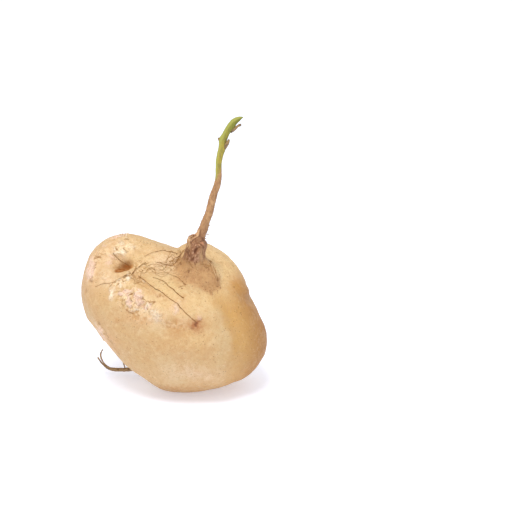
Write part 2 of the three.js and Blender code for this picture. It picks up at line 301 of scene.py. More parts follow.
# Healed, papery skin.
PALE_SCABS = [
    (-38.1, 15.1, 1.7, 3.6, -6, 1), (-32.1, 20.1, 1.5, 2.6, 0.6), (-35.6, 40.3, 2.6, 0.8, 0.8),
    (-31.9, 40.3, 1.9, 1.5, 1), (-15.2, 7.2, 1.5, 1.3, 30, 0.75), (-11.4, 4.6, 2.4, 2, 0.35),
    (-22.9, 5.2, 3.6, 0.9, 4, 0.6), (-11, 1.4, 1.6, 3.4, 10, 0.5), (-8.2, 1, 1, 3, 8, 0.4),
    (-28, 24.6, 2.6, 1.4, 30, 0.6), (-33.2, 45.8, 2.2, 2.4, 0.5), (-37.3, 42.8, 0.8, 0.9, 0.9),
    (-31.2, 51.1, 0.9, 1.4, 0.8), (5, 9.5, 4, 3, 0.2), (-34.2, 23.4, 2, 1, 24, 0.5),
    (-26.8, 43.4, 4, 1.6, 0.4), (-27.8, 27.2, 1.6, 0.6, 30, 0.8), (-27.6, 24.2, 0.8, 1.2, 0.6),
    (-18.5, 22.6, 1.4, 0.6, -35, 0.8),
]
PINK_SCABS = [
    (-26.9, 10.7, 1.5, 3.8, 4, 1), (-20.7, 11.6, 2.4, 4.8, 8, 1), (-30.6, 15.1, 4.4, 1.1, 18, 1),
    (-16.6, 5.4, 1.6, 1.2, 0.8), (-13.6, 7, 1, 1, 0.6), (-52.6, 30, 2.6, 6.4, -6, 1),
    (-36.2, 50.9, 5.4, 0.9, 12, 0.9), (-20.5, 16.9, 1.2, 0.9, 0.6), (-45.8, -10.6, 1.5, 7, 34, 0.5),
    (2.6, 5.6, 1.6, 3.2, 0.5), (-39.8, 37.4, 1.5, 1.8, 0.5), (-40.6, 34.2, 1.9, 2, 0.5),
    (-44.4, 44.6, 1.5, 1.4, 0.4), (-9.6, 0.4, 1.2, 2.6, 0.4), (17.4, -0.6, 1.3, 2, -30, 0.4),
]

# Brown edges and cracks of the scabs.
CRACKS = [
    (0.5, 0.9, [(-33.5, 42.4), (-31.4, 42.4), (-29.4, 41.1), (-28.5, 40.1)]),
    (0.7, 0.9, [(-36.2, 43), (-36, 41.9)]),
    (0.45, 0.7, [(-31.9, 15.9), (-29.4, 17.4), (-26.7, 18.1)]),
    (0.45, 0.9, [(-28.2, 12.9), (-27.4, 13.9), (-25.4, 14.5), (-23.2, 13.9)]),
    (0.5, 1, [(-19, 11.9), (-17, 10.9), (-16, 9.7), (-13.5, 8.9), (-11.3, 9.9)]),
    (0.5, 0.8, [(-31.9, 10.9), (-31.4, 8.9), (-29.9, 5.9), (-27.4, 3.9)]),
    (0.9, 0.6, [(-27.4, 3.9), (-24.7, 2)]),
    (0.6, 0.6, [(-34.2, 18.6), (-34, 16.6), (-33.5, 15.3)]),
    (0.9, 0.5, [(-28, 6.7), (-25.4, 6.7)]),
    (0.9, 0.9, [(-49.4, 36.8), (-46.8, 37.8)]),
    (0.8, 0.9, [(-48.2, 34.4), (-49.4, 31.6), (-50.2, 28.8)]),
    (0.9, 0.8, [(-51.6, 25.8), (-52.4, 22.4)]),
    (0.9, 0.6, [(-54.6, 17.4), (-55, 14.6)]),
    (0.4, 0.6, [(-38.7, 49.2), (-35, 50.2), (-31.4, 51.1)]),
    (0.35, 0.7, [(-37.4, 35), (-37.8, 31.6), (-37.9, 28.6)]),
    (0.35, 0.6, [(-25.6, 39.6), (-27.6, 36.2), (-28.2, 34.2)]),
    (0.4, 0.4, [(-24.9, 12.8), (-24.6, 9.8), (-24.2, 7.2)]),
    (0.8, 0.5, [(-16.2, 17.4), (-14.6, 16.6)]),
    (0.9, 0.6, [(-10.5, 14.6), (-7.6, 12.9), (-4.8, 12.3)]),
    (0.5, 0.7, [(-48, -2.6), (-44.6, -8), (-40.6, -14.4), (-37, -20), (-34.6, -24.6)]),
    (0.5, 0.7, [(16.8, -3), (18.6, -1.4), (19.8, 0.2)]),
    (0.5, 0.6, [(14.4, -7.4), (12, -7.8), (9.8, -7)]),
    (0.5, 0.5, [(17.4, -6.6), (19.6, -6.8)]),
    (0.4, 0.5, [(16, -8), (17.2, -9.6)]),
    (0.4, 0.4, [(14.2, -1), (14.6, 1.2)]),
    (0.4, 0.4, [(17.6, -4.8), (20.4, -4.6)]),
]
DARK_SPOTS = [
    (-11.7, 8.8, 1, 0.9, 1), (-30.6, 49, 1.3, 0.7, 1), (-29.2, 48.6, 0.9, 0.5, 0.7),
    (-41.6, 49.4, 0.6, 0.6, 1), (-43.1, 9.4, 0.8, 0.8, 0.5), (38.8, 18.2, 0.8, 0.7, 1),
    (8.3, 20.4, 1.4, 0.7, 1), (-25.6, 2.4, 1, 0.8, 0.5), (7.2, 12, 0.8, 0.5, 0.7),
    (-33.2, 30.5, 0.7, 0.6, 0.8), (-47.7, 37.1, 1.6, 0.8, 0.6), (-43.1, 40.9, 0.6, 0.4, 0.6),
    (-43.5, 39.4, 0.6, 0.4, 0.6), (-42.2, 37.2, 0.5, 0.4, 0.5), (-42.8, 32.9, 0.5, 0.5, 0.6),
    (13.4, 6.9, 0.6, 0.4, 0.8), (21.9, -1, 0.4, 0.4, 0.5), (24.6, 28.6, 0.6, 0.5, 0.5),
    (31.5, 2, 0.6, 0.8, 0.4),
]

# Where the skin is rumpled and split.
RUMPLED = [
    (-27, 12.4, 9, 6, -14, 1), (-17, 6.6, 7, 4.6, -24, 0.9), (-33, 21.6, 6, 3.6, 20, 0.8),
    (-33, 43.6, 5, 3.4, 1), (-51.6, 29.6, 3.4, 9, -8, 1), (-37, 50.4, 6, 1.6, 14, 0.7),
    (-8, 1, 4, 3.6, 0.6), (3, 5.6, 3, 4, 0.5), (-7.6, 13.4, 4, 1.4, -26, 0.7),
    (-45.4, -11.4, 2.2, 9, 34, 0.4), (-22, 0, 6, 4, 0.4), (-21, 30.5, 7, 5, 30, 0.6),
    (-12, 32, 7, 4, 10, 0.2), (-43, 25, 5, 5, 0.6), (-28, 45, 8, 5, 0.6), (-45, 40, 3.6, 6, -20, 0.7),
    (14, 1, 5, 5, 0.3), (0, -5, 12, 3, -4, 0.4),
]

# Browner skin: weathered patches, a darker band along the bottom edge, and painted shade under
# the hair cluster where the feeder roots meet.
TAN_PATCHES = [
    (3, -3.6, 9, 2.4, 0.9), (3.6, -7.4, 5.6, 3, 0.8), (1.6, -4.6, 5.4, 3.4, 0.8), (-21, -1.6, 6, 5, 0.7),
    (-31, 1, 9, 5, 0.35), (-23, 25.6, 5, 2.6, -20, 0.8), (-18, 22.6, 5, 2, -35, 0.7),
    (-7.6, 13.2, 3.6, 1.2, -26, 0.9), (-34.2, 17.4, 1, 1.6, 0.7), (-46.4, 41, 1.8, 4, -20, 0.6),
    (-54, 20, 3, 8, -8, 0.4), (-48.6, 0, 2.6, 9, 25, 0.5), (40, 20, 2.6, 2.6, 0.8), (33.5, -1, 2.2, 3, 0.3),
    (1, 37.6, 4, 3.4, 40, 0.4), (0.6, -46.6, 2.8, 1.4, 1), (-14.6, 16.8, 1.4, 1, 0.6), (-43, 9, 2, 2, 0.6),
    (4, -10, 6, 4, 0.4), (7.2, 12, 2.4, 1.8, 0.8), (-16.6, 18.4, 6, 2.2, -32, 0.7),
    (22, -24, 8, 5, 20, 0.25), (-3, -20, 16, 8, 0.35), (44, 9.4, 5, 5, 0.6), (46.4, 15, 2, 3, 0.5),
    (-48.4, 33, 1.5, 6, -8, 0.9), (-4, 13, 3, 1.5, -30, 0.9), (-34, -3, 9, 3, -24, 0.35),
    (-2, -47, 24, 3, 0.9), (27, -3, 5, 6, 0.3), (-38.2, -19.6, 1.5, 5.4, 33, 0.8),
    (-12, 16, 3, 1.4, -30, 0.8), (-23, 24.4, 3, 1.4, -30, 0.6), (-36, 17, 1, 1.4, 0.6),
    (-24, 3, 3, 1.4, -20, 0.6),
]

# Broad low swells of the skin, with their heights in mm (below 0 for a dip).
SWELLS = [
    (4.6, 43, 3, 3, 1.1), (47.4, 15.6, 3, 3.2, 0.9), (50, 9.2, 4, 3, -0.9), (-9, 4, 12, 4, -22, 0.8),
    (2, -6.4, 11, 3, -6, -0.7), (-12.3, 9.6, 1.5, 1.2, 0.55), (17, -1, 1.4, 1.6, 0.25),
    (8.6, 20.2, 2, 1.1, -20, 0.4),
]

# Tones of the plain skin: the usual share, how much the skin's lumps change it, and the spots.
# The cream and sunlit sets are painted light, which lifts places that the lamp leaves in shade;
# the blush set is a pinkish tint, and the last set is paler, chalk-white skin with painted light over part of
# it.
FACE_TONES = {
    # painted light: cream over places that the lamp leaves in shade
    "bright": (0.8, 0.5, [
        (-4, 14, 24, 12, 0.75), (8, 8, 16, 10, 0.5), (-30, 44, 14, 8, 0.7), (-14, 38, 9, 7, 0.8),
        (33, 33, 8, 9, 1.3), (26, 38, 6, 6, 0.8), (-35, 35, 4, 2.6, 0.5), (16, -14, 8, 4, 0.8),
        (31, 24, 5, 9, 0.6),
    ]),
    "lit": (0.85, 0.4, [
        (34, 34, 8, 9, 40, 1), (-7, 36, 12, 6, -12, 0.6), (24, 40, 5, 6, 0.7), (-35, 35, 4, 3, 0.5),
    ]),
    "blush": (0.8, 0.6, [
        (-54, 30, 7, 14, 0.8), (40.4, 21, 5, 6, 0.7), (-20, 0, 14, 5, 0.5), (-44, -14, 7, 14, 35, 0.7),
        (3, 6, 6, 6, 0.5), (-40, 47, 8, 5, 40, 0.5),
    ]),
    # paler chalk-white skin, with painted light over the navel, right of the neck and under the hairs
    "chalky": (0.8, 0.6, [
        (-42, 34, 8, 14, 0.8), (-42, 24, 7, 4, 0.8), (-30, 44, 7, 5, 0.5), (22, -38, 11, 6, 0.6),
        (5, -34, 15, 9, 0.6), (27, 38, 6, 6, 0.25), (-5, 34, 9, 6, 1.7), (-12, 42, 8, 4, 0.5),
        (-34.5, 36.5, 4, 3.4, 0.9),
    ]),
}
RAGGED_CHALK = [(-9.6, 0, 5.6, 5, 0.9), (1, 4.6, 2.6, 3.2, 0.8), (7, -2, 3, 2.4, 0.7)]

# Where the front turns into the right flank, from top to bottom. Past it, painted shade turns
# the skin yellow-brown.
RIDGE = [(20, 18), (24.7, 10.4), (31, -1.1), (35.5, -11.9), (36.1, -22.7), (33.6, -34.2), (31, -43)]

# The right edge of the tuber on its face, from bottom to top. Painted shade and warm reflected
# brown darken the skin along it.
RIGHT_EDGE = [
    (50, -40), (51.5, -35), (55, -28), (56.5, -20), (56.5, -12), (55, -4), (52, 3), (50, 9), (47.5, 15),
    (46, 22),
]

# Dark pits and knots on the neck: across, up, reach and depth.
NECK_PITS = [
    (11.9, 35.9, 1.1, 0.5), (11.5, 38.2, 0.7, 0.3), (14.8, 41.6, 1.1, 0.6), (15.8, 42.6, 0.7, 0.4),
    (16.6, 46.7, 0.6, 0.4), (19.2, 49.1, 0.8, 0.5), (17, 51.2, 0.6, 0.4), (15.5, 34.1, 0.5, 0.2),
    (4.7, 33.2, 0.5, 0.2), (23.4, 30.6, 0.5, 0.2), (23.4, 29.4, 0.5, 0.2), (19, 22.4, 0.4, 0.2),
    (21.1, 22.3, 0.5, 0.2), (21.6, 21.6, 0.4, 0.2), (17.3, 20.9, 0.4, 0.2), (12.3, 19, 0.4, 0.2),
    (12.9, 19.6, 0.4, 0.2), (17.1, 17.5, 0.35, 0.1), (24.1, 15.6, 0.4, 0.1), (28.5, 19.4, 0.5, 0.2),
    (27.6, 19.2, 0.4, 0.1), (28, 17.4, 0.4, 0.1), (28.3, 23, 0.6, 0.3), (13, 29, 0.4, 0.1),
    (7.2, 39.6, 0.6, 0.3), (8.4, 41.6, 0.6, 0.3), (8.9, 25.4, 0.4, 0.1), (14.4, 24.6, 0.4, 0.1),
    (5.6, 28.8, 0.35, 0.1), (3.9, 25.6, 0.35, 0.1), (20.6, 19.8, 0.35, 0.1), (15.2, 27.8, 0.35, 0.1),
    (15, 45.8, 0.6, 0.25), (16.6, 46.5, 0.5, 0.2), (12.2, 43.6, 0.7, 0.3), (17.6, 43.6, 0.6, 0.3),
    (9.9, 41, 0.6, 0.25), (10.9, 41.7, 0.5, 0.2), (13.4, 36.5, 0.5, 0.2), (12.8, 45.2, 0.5, 0.2),
    (11.5, 46.2, 0.6, 0.25), (15.4, 34.3, 0.5, 0.2), (14.4, 40.1, 0.7, 0.35), (9, 43, 0.5, 0.2),
    (18.9, 41, 0.4, 0.15), (10.2, 38.6, 0.5, 0.2), (12.4, 33.2, 0.4, 0.15), (4.9, 33.3, 0.4, 0.1),
    (0.5, 31.1, 0.35, 0.1), (-1.1, 29.5, 0.4, 0.1), (2.1, 29.9, 0.35, 0.1), (-1.1, 23.5, 0.4, 0.1),
    (3.5, 21.1, 0.4, 0.1), (5.1, 20.9, 0.4, 0.1), (8.2, 20.6, 0.6, 0.2), (2.2, 24.4, 0.35, 0.1),
]

# Small painted highlights on the neck, pale pink: across, up and reach.
NECK_FLECKS = [
    (17.3, 45.2, 0.8), (14.7, 44.9, 0.6), (12.8, 40.4, 0.9), (14.7, 38.5, 0.8), (16.2, 40, 0.5),
    (13.4, 42.4, 0.5), (11, 44, 0.5), (16.8, 37.2, 0.7), (13, 38.4, 0.5), (10.6, 40, 0.5),
    (15.6, 47.8, 0.6), (12.6, 47.6, 0.5), (10, 35.4, 0.6), (8.4, 38, 0.5), (14, 35, 0.6), (17.6, 41.6, 0.5),
]

# Folds of the neck: reach, height (mm, below 0 for a furrow) and the line.
NECK_FOLDS = [
    (1.5, 0.45, [(17.7, 53.2), (15.5, 51.8), (12.2, 49.4), (10.8, 47.2)]),
    (0.8, -0.6, [(17, 50.8), (14.3, 49.1), (12.2, 47), (11.4, 45.4)]),
    (0.9, 0.6, [(15.8, 45.2), (17.1, 45.4), (18.6, 44.6), (19.2, 43)]),
    (0.8, 0.5, [(17.6, 47.2), (19.4, 46.5), (20.3, 45.2)]),
    (0.7, -0.5, [(16.2, 46.5), (18.2, 45.8), (19.6, 44.6), (19.9, 43)]),
    (0.9, -0.5, [(16.8, 43.4), (15.6, 42.3), (14.5, 40.8), (13.4, 40.2)]),
    (1, 0.35, [(13.4, 45.6), (12.2, 42.6), (12.4, 39.8)]),
    (1, 0.4, [(17.6, 41.4), (16.4, 38.6), (16.8, 35.8)]),
    (0.6, -0.3, [(20.7, 44.6), (20.8, 41.5), (20.4, 38.8)]),
    (0.8, -0.3, [(9.6, 43.6), (9.2, 40.6), (10, 38)]),
    (0.7, -0.25, [(13.6, 37.8), (13.4, 35.2), (14.4, 33)]),
    (0.5, -0.2, [(8.9, 36.3), (10.6, 34.1), (13, 30.9)]),
    (0.6, -0.25, [(9.8, 29.2), (9.5, 27.9)]),
]

# Tones of the neck.
NECK_TONES = {
    # pale buttress skin left of the stem, with a painted highlight
    "peach": [(11.9, 48.8, 1.3, 2.6, -35, 1), (15.4, 51.8, 1.1, 2.4, -50, 0.7)],
    "shade": [(15, 41.8, 2.6, 1.9, 25, 1), (11.6, 39.4, 2.2, 1.6, 30, 0.7), (17.4, 43.4, 2, 1, 0.6)],
    "mauve": [(16, 48.6, 1.9, 1.9, 1), (15.6, 38, 3, 3, 0.7), (13, 45, 2, 2, 0.6)],
    # yellowish tan on the neck's right strip, and a painted highlight left of the neck
    "olive": [(19.4, 38.4, 2.2, 5.4, 1), (9.6, 45, 1.9, 2.8, 1)],
}
NECK_BROWN_SPOTS = [(13.6, 41.4, 6.4, 7.6, 1), (8, 27, 6, 6, 0.45), (6.2, 40, 2.6, 4.4, 0.8)]
# the leaf scar's orange streak, with a painted pink highlight beside it
ROSY_LINES = [(0.5, 1, [(17.8, 47), (19.4, 46.3), (20.1, 45)]), (0.5, 0.6, [(16.4, 45.3), (17.6, 45.2)])]

# The neck's half thickness (mm) at heights up its axis (mm).
NECK_GIRTH = [
    (0, 13.3), (2, 11.5), (4, 10.1), (6, 9.3), (10, 8.8), (14, 7.9), (18, 7.4), (21, 6.8), (24, 4.5),
]


def neck_shares(points):
    """How far up the neck each point is (mm), and how far from the neck's axis."""
    axis = unit(NECK_TOP - NECK_FOOT)
    away = points / MM - NECK_FOOT
    height = away @ axis
    return height, np.linalg.norm(away - height[:, None] * axis, axis=1)


def skin_fields(points):
    """What the skin's forms and marks share, a value for each point: places, regions and noises.
    fore is 1 on the near side of the neck and crown, and lifted is 0 on the flat that it rests on."""
    f = SimpleNamespace(place=on_face(points), marks={})
    f.x, f.y, f.out = f.place.T
    f.front = on_front(f.place)
    f.fore = rise(17, 25, f.out)
    f.lifted = rise(0.3, 6, points[:, 2] / MM)
    f.height, f.off_axis = neck_shares(points)
    f.on_neck = fall(1.5, 4.5, f.off_axis - follow(NECK_GIRTH, 0, 1, f.height))
    f.soft = grain(points, 26, 2, 3.1)
    f.lumps = grain(points, 9, 3, 11.7)
    f.small = grain(points, 3.2, 3, 5.3)
    f.fine = grain(points, 1.5, 2, 8.9)
    f.drift = grain(points, 3.6, 3, 41.3)
    f.wrinkle = creases(points, 4.6, 3, 2.7)
    f.fold = creases(points, 2.4, 2, 14.2)
    shift = np.stack([f.small, f.drift, 0 * f.small], 1)
    tremble = np.stack([f.fine, -f.fine, 0 * f.fine], 1)
    f.ragged = f.place + 1.5 * shift + 0.5 * tremble
    f.bent = f.place + 0.35 * (f.ragged - f.place)
    f.past_ridge = f.x - follow(RIDGE[::-1], 1, 0, f.y)
    return f


def rumple(f, points):
    """The height (mm) of rumpled, split and scabbed skin, with its cracks and dark spots."""
    rumpled = np.clip(spots(f.ragged, RUMPLED), 0, 1)
    splits = rise(0.7, 0.95, creases(points, 6, 3, 61.3)) * rumpled
    crests = rise(0.1, 0.45, creases(points, 4, 3, 23.9)) * rumpled * (1 - splits)
    stray = rise(0.25, 0.65, grain(points, 12, 4, 77.7)) * (1 - f.front)
    pale = spots(f.ragged, PALE_SCABS) + 0.32 * stray
    pink = spots(f.ragged, PINK_SCABS)
    cracks = lines(f.ragged, CRACKS)
    dark = spots(f.place + 0.4 * (f.ragged - f.place), DARK_SPOTS)
    f.marks.update(rumpled=rumpled, splits=splits, crests=crests, scab_pale=pale, scab_pink=pink)
    f.marks.update(cracks=cracks + dark)
    relief = np.clip(pale + pink, 0, 1) * (0.5 * f.wrinkle + 0.35 * f.fold + 0.1 * f.fine - 0.1)
    relief += rumpled * (0.5 * f.drift + 0.5 * f.wrinkle + 0.3 * f.fold + 0.15 * f.fine - 0.3)
    relief += 0.8 * crests - 0.6 * splits
    return relief - 0.35 * np.clip(cracks, 0, 1) - 0.12 * np.clip(dark, 0, 1)


def wound(f):
    """The depth (mm) of the healed wound right of the middle, and of the browned skin round it."""
    scar = near(f.place, 15.5, -3.6, 1.2, 1) + near(f.place, 14.8, -5.2, 1.4, 0.8, -41)
    scar += 0.6 * near(f.ragged, 13.1, -6.8, 1.9, 0.6) + 0.4 * near(f.ragged, 16.2, -7.3, 0.8, 0.6)
    scar += 0.3 * along(f.ragged, 0.4, [(16.5, -3), (20, -0.7)])
    halo = near(f.ragged, 15.6, -4.8, 4.6, 4.2)
    f.marks.update(scar=scar, halo=halo)
    return 0.4 * scar + 0.3 * halo


def navel(f):
    """Shares of the navel's dip, where the skin sinks in, and of the rounded lip before it. It also
    marks the shade that is painted inside the navel.
    """
    above = f.y - follow(NAVEL_LIP, 0, 1, f.x) + 0.25 * f.small
    wide = rise(-40, -34.5, f.x) * fall(-28.5, -23.5, f.x)
    reach = 3.6 + 3.9 * rise(-38, -31, f.x)
    dip = rise(-0.3, 1.0, above) * fall(0, 1, (above - 1) / (reach - 1)) * wide * f.front
    shelf = rise(-38.6, -35.6, f.x) * fall(-27.4, -24.4, f.x) * f.front
    # painted shade inside the navel: brown on the wall under its rim, darkest just above the lip
    hollow = rise(-0.2, 0.5, above) * fall(0.8, 4.2, above) * shelf
    hollow += near(f.ragged, -30.8, 30.6, 3, 2.4) + 0.6 * near(f.place, -28.4, 31.6, 2.6, 2.4)
    deepest = rise(-0.2, 0.3, above) * fall(0.6, 3.2, above + 0.8 * f.drift) * shelf
    deepest += near(f.ragged, -33.8, 29.6, 2, 0.9)
    f.marks.update(hollow=0.8 * hollow * rise(-0.1, 0.6, above))
    f.marks.update(deepest=deepest * (1 - 0.5 * rise(-30, -27, f.x)))
    return dip, bell(above, 1.5, -1.3) * wide * f.front


def crown_share(f):
    """Where the skin is brown and corky round the foot of the neck, and on the neck itself."""
    crisp = rise(30, 38, f.y)
    rim = inside_outline(f.place + (1 - 0.7 * crisp[:, None]) * (f.ragged - f.place), CROWN)
    faded = near(f.place, 5, 22, 11, 9)
    edge = rim + (1 - crisp) * (1.4 * f.lumps + f.drift)
    crown = rise(crisp - 2.2 - 2.4 * faded, 3.2 - 1.6 * crisp + 3 * faded, edge) * f.fore
    crown *= 1 - 0.3 * near(f.ragged, 3, 28, 3.4, 9, -12) - 0.45 * near(f.ragged, 12, 19.4, 7, 2.2, -10)
    crown = np.maximum(crown, rise(2, 6, f.height + 1.5 * f.small) * f.on_neck)
    dotted = bell(rim, 2.6, 0.3) * f.fore * (1 - crisp)
    f.marks.update(crown=crown, rim=dotted + 0.5 * crown + 0.7 * near(f.ragged, 2.6, 27, 5, 7))
    return crown


def neck_relief(f, points):
    """The height (mm) of the neck's bark, folds and pits."""
    ridges = creases(points, 4.2, 3, 21.4, (1, 1, 0.45))
    knobs = grain(points, 3.8, 3, 31.9, (1, 1, 0.7))
    relief = rise(0, 8, f.height) * f.on_neck * (0.22 * knobs + 0.25 * ridges - 0.1)
    relief += rise(8, 15, f.height) * f.on_neck * (0.25 * f.small + 0.16 * f.fine)
    relief += 0.3 * f.fore * along(f.place, 1.4, [(23, 34), (26.5, 28), (28.3, 22)])
    pits = spots(f.place, [(x, y, reach, reach, depth) for x, y, reach, depth in NECK_PITS])
    return relief + (lines(f.bent, NECK_FOLDS) - pits) * f.fore


def broad_shift(f, dip):
    """How far (mm, in the frame) the dip, the neck's waist and the shoulders behind it move."""
    behind = fall(13, 19, f.out)
    hump = bell(f.x, 5, 10) * rise(38, 43, f.y) * behind
    valley = bell(f.x, 4, 0.6) * rise(36, 42, f.y) * behind
    waist = near(f.place, 24.5, 38.6, 5, 6.5) * fall(13.5, 17, f.off_axis) * rise(2, 7, f.height)
    shoulder = near(f.place, 10.8, 49.4, 3.2, 3.4) * rise(10, 16, f.height)
    ways = [
        (dip, -4.2 * OUT_OF_FACE - 0.8 * UP_FACE), (waist, -3 * ACROSS), (hump, 2.2 * UP_FACE),
        (valley, -1.05 * UP_FACE), (shoulder, 1.2 * UP_FACE - 0.9 * ACROSS),
    ]
    return sum(share[:, None] * way for share, way in ways)


def mark_tones(f, points, crown):
    """The marks that carry colour alone, painted light and shade among them."""
    for name, (usual, lumpy, rows) in FACE_TONES.items():
        f.marks[name] = spots(f.place, rows) * (usual + lumpy * f.lumps)
    f.marks["chalky"] += spots(f.ragged, RAGGED_CHALK) * (0.8 + 0.6 * f.lumps)
    for name, rows in NECK_TONES.items():
        f.marks[name] = spots(f.bent, rows) * f.fore
    brown = spots(f.ragged, NECK_BROWN_SPOTS) + near(f.bent, 15.5, 48, 7, 5)
    furrows = sum(along(f.bent, 0.8 * reach, knots) for reach, lift, knots in NECK_FOLDS if lift < 0)
    pits = spots(f.bent, [(x, y, 1.2 * reach, 1.2 * reach, 0.6 + depth) for x, y, reach, depth in NECK_PITS])
    # painted highlights on the neck
    flecks = spots(f.bent, [(x, y, reach, reach, 1) for x, y, reach in NECK_FLECKS])
    # painted shade and warm reflected brown along the right edge
    flank = rise(-15, 4, f.x - follow(RIGHT_EDGE, 1, 0, f.y) + 2 * f.soft + 1.5 * f.lumps) * fall(13, 32, f.y)
    weathered = 0.7 * rise(0.15, 0.6, grain(points, 20, 3, 55.1)) * (1 - f.front)
    # painted shade: yellow-brown past the ridge, where the skin turns away from the lamp
    golden = rise(-2.5, 5, f.past_ridge + 2.5 * f.lumps + f.small) * fall(0, 22, f.y)
    golden *= 0.55 + 0.45 * rise(-34, -18, f.y)
    f.marks.update(
        neck=np.maximum(brown * f.fore, rise(8, 14, f.height)) * crown,
        rosy=lines(f.bent, ROSY_LINES) * f.fore,
        furrow=furrows * f.fore,
        pits=pits * f.fore,
        fleck=flecks * f.fore,
        flank=flank * rise(-22, 12, f.out + 6 * f.soft + 5 * f.lumps),
        tan=weathered + spots(f.ragged, TAN_PATCHES),
        golden=golden + near(f.ragged, 41, 19, 4.5, 5),
    )


def make_skin():
    mesh = finer_copy("tuber")
    points = read(mesh)
    f = skin_fields(points)
    dip, lip = navel(f)
    crown = crown_share(f)
    relief = 0.6 * f.soft + 0.3 * f.lumps + 0.09 * f.small + spots(f.place, SWELLS) + 0.5 * lip
    relief += 0.4 * along(f.place, 4.5, RIDGE) - 0.5 * bell(f.past_ridge, 4, 6) * f.front * f.lifted
    relief += rumple(f, points) - wound(f) + crown * (0.12 + 0.14 * f.small) + neck_relief(f, points)
    shift = read(mesh, "normal") * (relief * f.lifted)[:, None] + broad_shift(f, dip)
    points = points + shift * MM
    write_points(mesh, points)
    mark_tones(f, points, crown)
    keep_marks(mesh, **f.marks)
    return mesh


skin_mesh = make_skin()
skin = new_piece("skin", skin_mesh, "skin", "tuber")
skin_corners = [v.co[:] for v in skin_mesh.vertices]
skin_tree = BVHTree.FromPolygons(skin_corners, [p.vertices[:] for p in skin_mesh.polygons])

# From how far out, and from how deep when that misses, a place on the skin is looked for (mm).
OUTSIDE = 95
INSIDE = 20


def touch(across, up):
    """The place on the front of the skin at that place on the face, and the way out of it there."""
    hit, normal, _, _ = skin_tree.ray_cast(Vector(from_face(across, up, OUTSIDE)), Vector(-OUT_OF_FACE))
    if hit is None:
        hit, normal, _, _ = skin_tree.find_nearest(Vector(from_face(across, up, INSIDE)))
    return np.array(hit), np.array(normal)


# ---------------------------------------------------------------- the stem

# The stem's middle line in the frame and its half thickness there (mm).
STEM = [
    (7.3, -24.9, 98, 4.2), (7.6, -25.2, 102, 4.1), (8.2, -25.5, 105, 3.9), (9.1, -25.9, 107.8, 3.4),
    (10.4, -26.5, 111, 2.95), (11.7, -26.7, 114.2, 2.9), (13, -26.5, 118.2, 2.6),
    (15.1, -25.5, 123.4, 2.45), (16.6, -24.2, 129.2, 2.38), (18.1, -22.9, 135, 2.28),
    (20.2, -21.6, 140.4, 2.05), (21.2, -20.4, 146.2, 1.95), (21.2, -19.4, 152.2, 1.9),
    (21.7, -18.7, 157.2, 1.95), (23.1, -17.8, 163.4, 2.1), (24, -17.2, 168.2, 2.25),
    (25.9, -16.7, 172.6, 2.1), (28.2, -16.2, 176.6, 2.1), (30.9, -15.8, 180, 2), (33.7, -15.5, 181.9, 1.5),
    (36.4, -15.3, 182.9, 0.25),
]

# The right edge of the pale skin round the stem's foot, across and up the face. The pale skin
# also carries a painted highlight on the buttress.
PEEL = [(12.6, 47), (14.1, 49.1), (16.9, 51), (17.6, 54.3), (18, 57)]

# The height at which the stem turns from brown to green (mm).
GREEN_FROM = 148
STEM_SIDES = 40
STEM_STEP = 0.45


def make_stem():
    line = smooth_line(np.array(STEM) * MM, STEM_STEP * MM)
    tubes = Tubes()
    tubes.add(line[:, :3], line[:, 3], STEM_SIDES)
    mesh = tubes.mesh("stem_bark")
    points, normals = read(mesh), read(mesh, "normal")
    level = points[:, 2] / MM
    woody = fall(GREEN_FROM - 8, GREEN_FROM + 10, level)
    rough = 0.22 * grain(points, 2.6, 3, 12.8) + 0.25 * creases(points, 2.4, 2, 3.3, (1, 1, 0.4)) - 0.1
    relief = 0.12 * grain(points, 6, 2, 4.4)
    relief += (0.06 + 0.1 * woody) * creases(points, 1.5, 2, 6.1, (1, 1, 0.18))
    relief += 0.1 * woody * grain(points, 1.2, 2, 9.3, (1, 1, 0.5)) + rough * fall(104, 122, level)
    relief += 1.2 * np.clip(-normals[:, 0], 0, 1) * fall(107, 112, level)
    for node in ("petiole_stub_low", "petiole_stub_high", "scale_low"):
        joint = read(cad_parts[node].data)
        joint = joint[np.argmin([np.linalg.norm(line[:, :3] - p, axis=1).min() for p in joint])]
        relief += 0.5 * bell(np.linalg.norm(points - joint, axis=1), 2.4 * MM)
    write_points(mesh, points + normals * relief[:, None] * MM)
    mark_stem(mesh, points)
    return mesh


def mark_stem(mesh, points):
    level = points[:, 2] / MM
    aside = points[:, 0] / MM - follow(STEM, 2, 0, level)
    place = on_face(points)
    peel = follow(PEEL, 1, 0, place[:, 1]) - place[:, 0]
    foot = fall(53.6, 56.5, place[:, 1])
    creased = near(place, 19.2, 49, 0.9, 1.6) + 0.6 * near(place, 17.6, 50.6, 1, 1.2)
    keep_marks(
        mesh,
        woody=fall(-4, 4, level - GREEN_FROM - 3 * grain(points, 3, 2, 7.7) - 2.2 * aside),
        # pale skin on the buttress, with a painted highlight
        peach=rise(-0.1, 0.7, peel + 0.3 * grain(points, 1.4, 2, 5.5)) * foot,
        furrow=bell(peel, 0.45, -0.35) * foot + creased,
        rough=fall(106, 121, level),
        young=rise(160, 182, level),
        stripe=rise(0.2, 1.4, -aside),
    )


stem = new_piece("stem_bark", make_stem(), "bark", "stem")

# Where the tail root and its fork run side by side with a gap between them, and how far that goes.
SPLIT = np.array([-56.4, 15, 7.4])
SPLIT_REACH = 4.6
SPLIT_WAY = np.array([0.88, 0, 0.47])


